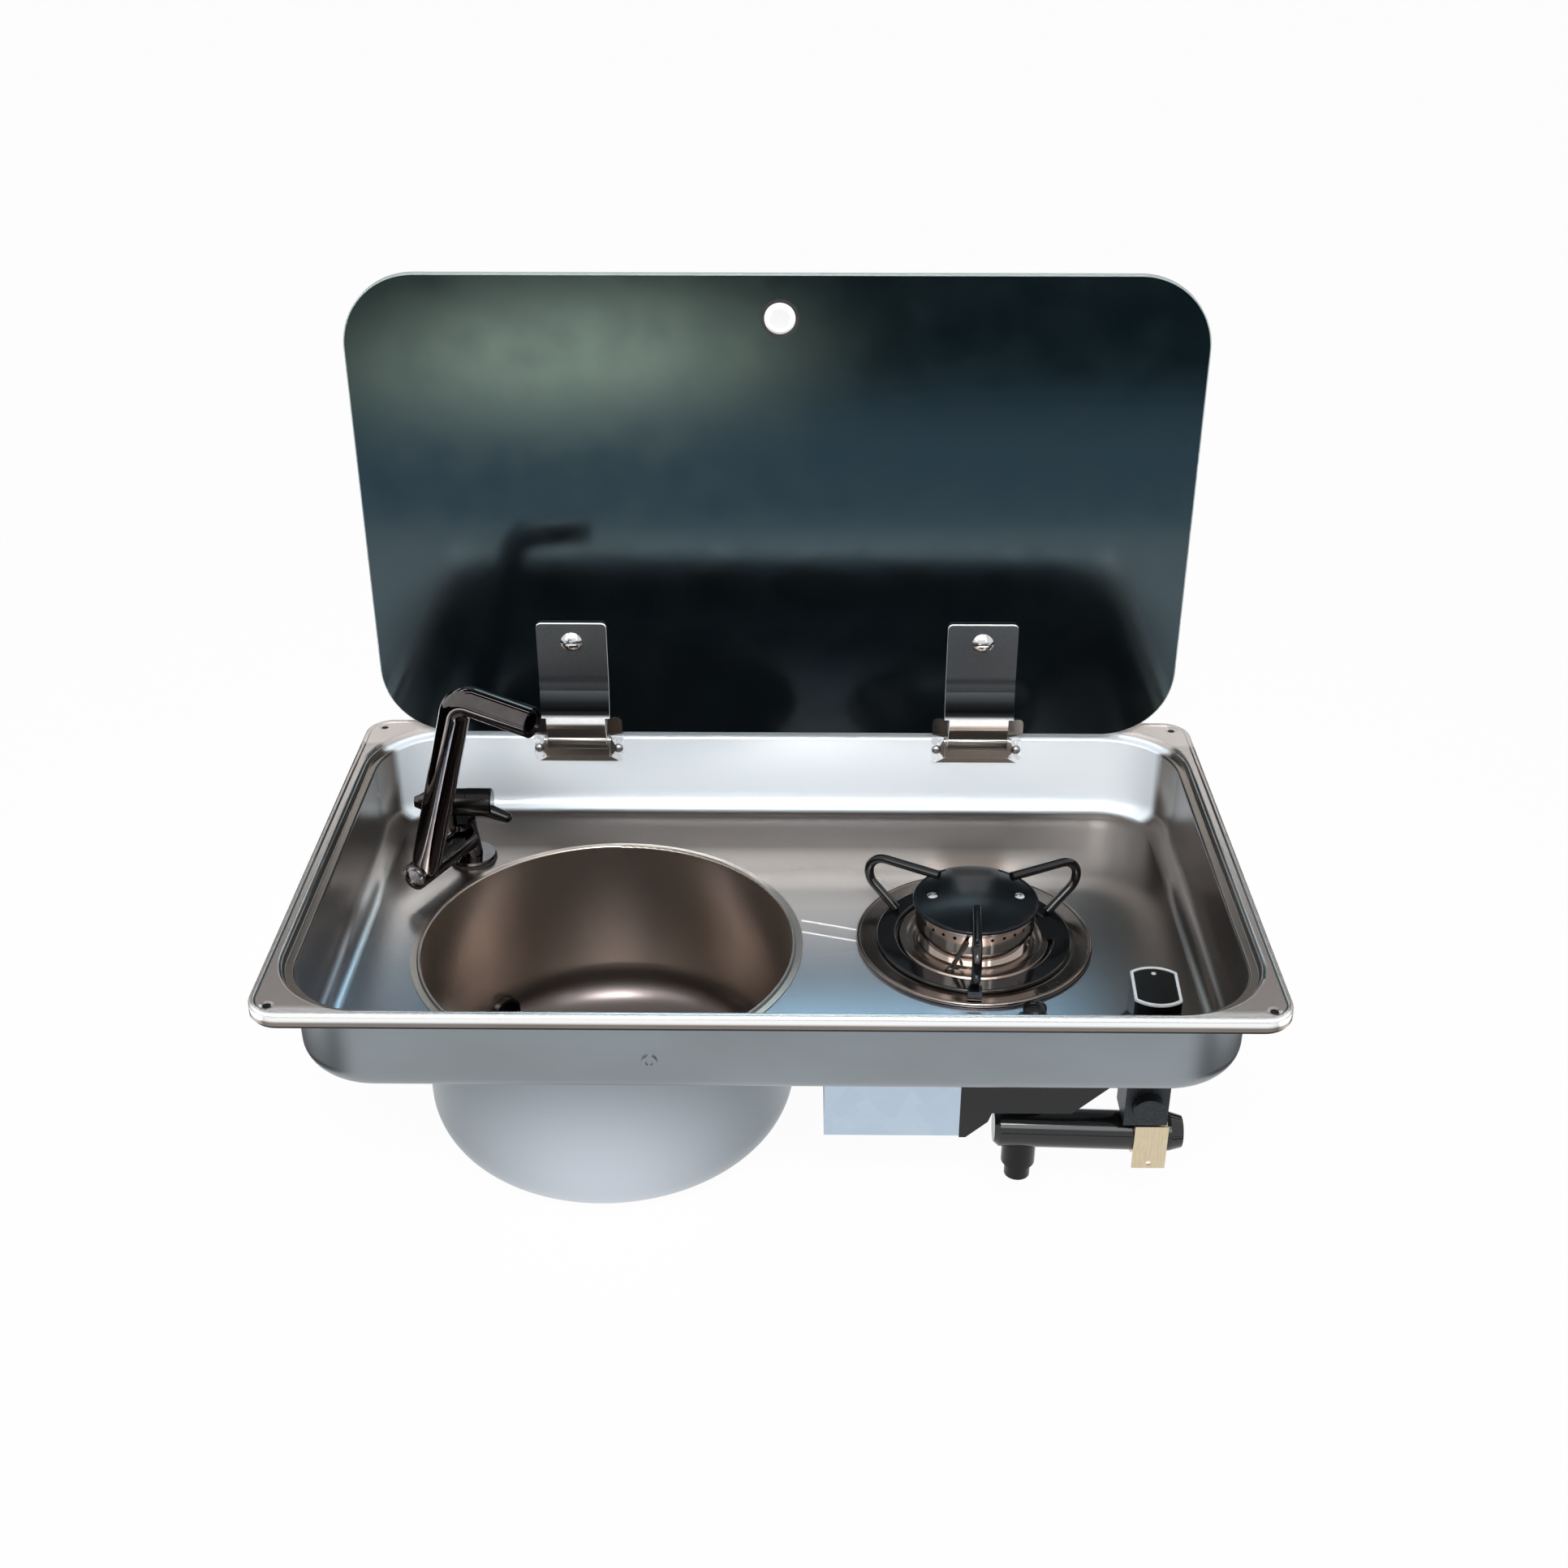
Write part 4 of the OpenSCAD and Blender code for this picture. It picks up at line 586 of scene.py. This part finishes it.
dressFaces("lid_knob_cap", [acetal, greyAcetal()],
           lambda centre, normal: math.hypot(centre.x - capMiddle.x, centre.z - capMiddle.z) < discRadius)
print("fittings dressed")


# The glass lid: flat faces, ground edge with a small arris on both sides
glassLid = {"cornerRadius": 44 * mm, "arris": 0.8 * mm, "cornerSteps": 40, "sharpAngle": 25}


def roundedOutline(halfX, halfZ, radius, steps):  # anticlockwise from the right, as seen from the front
    points = []
    for quarter, (sideX, sideZ) in enumerate([(1, 1), (-1, 1), (-1, -1), (1, -1)]):
        for step in range(steps + 1):
            angle = math.radians(90 * (quarter + step / steps))
            points.append((sideX * (halfX - radius) + radius * math.cos(angle),
                           sideZ * (halfZ - radius) + radius * math.sin(angle)))
    return points


def makeGlassLid():
    middle = (glassLow + glassHigh) / 2
    half = (glassHigh - glassLow) / 2
    arris = glassLid["arris"]
    rows = [(glassLow.y, arris), (glassLow.y + arris, 0), (glassHigh.y - arris, 0), (glassHigh.y, arris)]
    vertices = []
    for depth, inset in rows:
        outline = roundedOutline(half.x - inset, half.z - inset, glassLid["cornerRadius"] - inset,
                                 glassLid["cornerSteps"])
        vertices += [(middle.x + x, depth, middle.z + z) for x, z in outline]
    count = len(vertices) // len(rows)
    faces = [list(range(count)), list(range(4 * count - 1, 3 * count - 1, -1))]
    for row in range(len(rows) - 1):
        for i in range(count):
            j = (i + 1) % count
            faces.append([row * count + i, (row + 1) * count + i, (row + 1) * count + j, row * count + j])
    mesh = bpy.data.meshes.new("glassPane")
    mesh.from_pydata(vertices, [], faces)
    mesh.materials.append(backPaintedGlass())
    mesh.materials.append(groundGlassEdge())
    mesh.polygons.foreach_set("material_index", [0, 0] + [1] * (len(faces) - 2))
    mesh.shade_smooth()
    mesh.set_sharp_from_angle(angle=math.radians(glassLid["sharpAngle"]))
    pane = bpy.data.objects.new("glassPane", mesh)
    bpy.context.scene.collection.objects.link(pane)
    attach(pane, "lid")
    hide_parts("lid_glass")


makeGlassLid()
print("lid made")


# Camera, where the photograph was taken from: angles in degrees, lens and sensor in mm
cameraPlace = {"place": Vector((15.06, -924.69, 558.33)) * mm, "tilt": 60.922, "yaw": 0.572, "lens": 43.114,
               "sensor": 36, "nearest": 20 * mm}


def makeCamera():
    data = bpy.data.cameras.new("photoCamera")
    data.sensor_width = cameraPlace["sensor"]
    data.lens = cameraPlace["lens"]
    data.clip_start = cameraPlace["nearest"]
    camera = bpy.data.objects.new("photoCamera", data)
    camera.location = cameraPlace["place"]
    camera.rotation_euler = (math.radians(cameraPlace["tilt"]), 0, math.radians(cameraPlace["yaw"]))
    bpy.context.scene.collection.objects.link(camera)
    bpy.context.scene.camera = camera


# Studio: white all round, a pale floor, soft boxes, and cards that only mirror rays see (metres)
floorLevel = cadBox[0][2] - 0.5 * mm
studio = {"ambient": 0.62, "floorHalf": 7.0, "floorColour": "#e6e6e6", "floorLift": 0.96}


def seenDirectly(tree):  # 1 for camera, mirror and glass rays
    path = addNode(tree, "LightPath").outputs
    seen = path["Is Camera Ray"]
    for kind in ("Is Glossy Ray", "Is Transmission Ray"):
        seen = addNode(tree, "Math", {0: seen, 1: path[kind]}, operation="MAXIMUM").outputs[0]
    return seen


def makeWorld():
    world = bpy.data.worlds.new("studioWorld")
    world.use_nodes = True
    tree = world.node_tree
    strength = addNode(tree, "MapRange", {"Value": seenDirectly(tree), "To Min": studio["ambient"],
                                          "To Max": 1.0}).outputs[0]
    background = tree.nodes["Background"]
    background.inputs["Color"].default_value = white
    tree.links.new(strength, background.inputs["Strength"])
    bpy.context.scene.world = world


def startSurface(name):
    material = bpy.data.materials.new(name)
    material.use_nodes = True
    material.node_tree.nodes.remove(material.node_tree.nodes["Principled BSDF"])
    return material, material.node_tree


def endSurface(tree, shader):
    tree.links.new(shader, tree.nodes["Material Output"].inputs["Surface"])


def addCard(name, corners, material, mirrorOnly=True):
    mesh = bpy.data.meshes.new(name)
    mesh.from_pydata(corners, [], [(0, 1, 2, 3)])
    mesh.materials.append(material)
    card = bpy.data.objects.new(name, mesh)
    bpy.context.scene.collection.objects.link(card)
    if mirrorOnly:
        card.visible_camera = False
        card.visible_diffuse = False
        card.visible_shadow = False
        card.visible_transmission = False


def layFlat(across, depth, level):  # corners of a level card
    return [(across[0], depth[0], level), (across[1], depth[0], level),
            (across[1], depth[1], level), (across[0], depth[1], level)]


def standUpright(across, place, height):  # corners of a card that faces the camera
    return [(across[0], place, height[0]), (across[1], place, height[0]),
            (across[1], place, height[1]), (across[0], place, height[1])]


def makeFloor():
    material, tree = startSurface("floorPaper")
    paper = addNode(tree, "BsdfDiffuse", {"Color": linearColour(studio["floorColour"])}).outputs[0]
    glow = addNode(tree, "Emission", {"Color": white, "Strength": 1.0}).outputs[0]
    lift = addNode(tree, "Math", {0: seenDirectly(tree), 1: studio["floorLift"]},
                   operation="MULTIPLY").outputs[0]
    top = addNode(tree, "MixShader", {0: lift, 1: paper, 2: glow}).outputs[0]
    under = addNode(tree, "NewGeometry").outputs["Backfacing"]  # clear from below, to show the underside
    clear = addNode(tree, "BsdfTransparent").outputs[0]
    endSurface(tree, addNode(tree, "MixShader", {0: under, 1: top, 2: clear}).outputs[0])
    across = (-studio["floorHalf"], studio["floorHalf"])
    addCard("studioFloor", layFlat(across, across, floorLevel), material, mirrorOnly=False)


# What the glass mirrors: a dim room with a blue band close by and one soft window to the left
roomCard = {"across": (-1.9, 1.9), "depth": (-3.0, -0.66), "lift": 1 * mm, "dark": "#213c3f",
            "band": "#9eb8c8", "bandPlace": (-1.28, -0.95), "window": (-0.31, -1.33), "windowReach": 0.5,
            "windowColour": "#fff8d9", "windowStrength": 3.3}


def makeRoomCard():
    level = floorLevel + roomCard["lift"]
    material, tree = startSurface("dimRoom")
    place = addNode(tree, "TexCoord").outputs["Object"]
    depth = addNode(tree, "SeparateXYZ", {0: place}).outputs["Y"]
    far, near = roomCard["bandPlace"]
    rising = addNode(tree, "MapRange", {"Value": depth, "From Min": far, "From Max": near},
                     interpolation_type="SMOOTHERSTEP").outputs[0]
    apart = addNode(tree, "VectorMath", {0: place, 1: (*roomCard["window"], level)},
                    operation="DISTANCE").outputs["Value"]
    glow = addNode(tree, "MapRange", {"Value": apart, "From Min": 0.0, "From Max": roomCard["windowReach"],
                                      "To Min": 1.0, "To Max": 0.0},
                   interpolation_type="SMOOTHERSTEP").outputs[0]
    room = layered(tree, roomCard["dark"], (rising, roomCard["band"]))
    wall = addNode(tree, "Emission", {"Color": room}).outputs[0]
    window = addNode(tree, "Emission", {"Color": linearColour(roomCard["windowColour"]),
                                        "Strength": roomCard["windowStrength"]}).outputs[0]
    endSurface(tree, addNode(tree, "MixShader", {0: glow, 1: wall, 2: window}).outputs[0])
    addCard("roomCard", layFlat(roomCard["across"], roomCard["depth"], level), material)


# Dark cloths at both ends, behind and overhead, with bright slits, draw the streaks on the chrome
flags = {"cloth": "#1d1b1a", "slitStrength": 3.4, "gap": 1 * mm,
         "ends": {"across": (0.33, 1.7), "depth": (-0.28, 0.9), "slit": (0.48, 0.58)},
         "rear": {"across": (-1.4, 1.4), "place": 1.1, "height": (-0.1, 1.7),
                  "slits": ((0.52, 0.62), (1.15, 1.3))},
         "roof": {"across": (-1.6, 1.6), "depth": (0.25, 2.4), "level": 1.9, "slit": (0.62, 0.74)}}


def makeFlags():
    cloth, clothTree = startSurface("flagCloth")
    endSurface(clothTree, addNode(clothTree, "Emission", {"Color": linearColour(flags["cloth"])}).outputs[0])
    tube, tubeTree = startSurface("slitLight")
    endSurface(tubeTree, addNode(tubeTree, "Emission", {"Color": white,
                                                        "Strength": flags["slitStrength"]}).outputs[0])
    gap, ends, rear, roof = flags["gap"], flags["ends"], flags["rear"], flags["roof"]
    for side, end in ((-1, "Left"), (1, "Right")):
        for name, material, across, lift in (("flag", cloth, ends["across"], gap),
                                             ("slit", tube, ends["slit"], 2 * gap)):
            corners = layFlat(sorted(side * part for part in across), ends["depth"], floorLevel + lift)
            addCard(name + end, corners, material)
    addCard("ceilingFlag", layFlat(roof["across"], roof["depth"], roof["level"]), cloth)
    addCard("ceilingSlit", layFlat(roof["across"], roof["slit"], roof["level"] - gap), tube)
    addCard("rearFlag", standUpright(rear["across"], rear["place"], rear["height"]), cloth)
    for number, height in enumerate(rear["slits"]):
        addCard("rearSlit%d" % number, standUpright(rear["across"], rear["place"] - gap, height), tube)


lamps = {  # watts, with places and sizes in metres
    "softboxFront": {"place": (-0.2, -1.9, 1.5), "aim": (0, 0, 0), "size": (2.2, 1.0), "power": 20},
    "softboxLeft": {"place": (-1.3, -1.2, 0.9), "aim": (0, 0, 0), "size": (0.5, 1.2), "power": 4},
    "stripRight": {"place": (0.7, -1.0, 0.8), "aim": (0.1, 0, 0), "size": (0.06, 1.2), "power": 2},
    "wallWash": {"place": (0, -0.9, 1.0), "aim": (0, 0.15, -0.03), "size": (0.7, 0.2), "power": 1.1,
                 "spread": 40}}


def makeLamps():
    for name, lamp in lamps.items():
        data = bpy.data.lights.new(name, "AREA")
        data.shape = "RECTANGLE"
        data.size, data.size_y = lamp["size"]
        data.energy = lamp["power"]
        data.spread = math.radians(lamp.get("spread", 180))
        light = bpy.data.objects.new(name, data)
        light.location = lamp["place"]
        toward = Vector(lamp["aim"]) - Vector(lamp["place"])
        light.rotation_euler = toward.to_track_quat("-Z", "Y").to_euler()
        bpy.context.scene.collection.objects.link(light)


makeCamera()
makeWorld()
makeFloor()
makeRoomCard()
makeFlags()
makeLamps()
bpy.context.scene.view_settings.view_transform = "Standard"
print("studio lit")
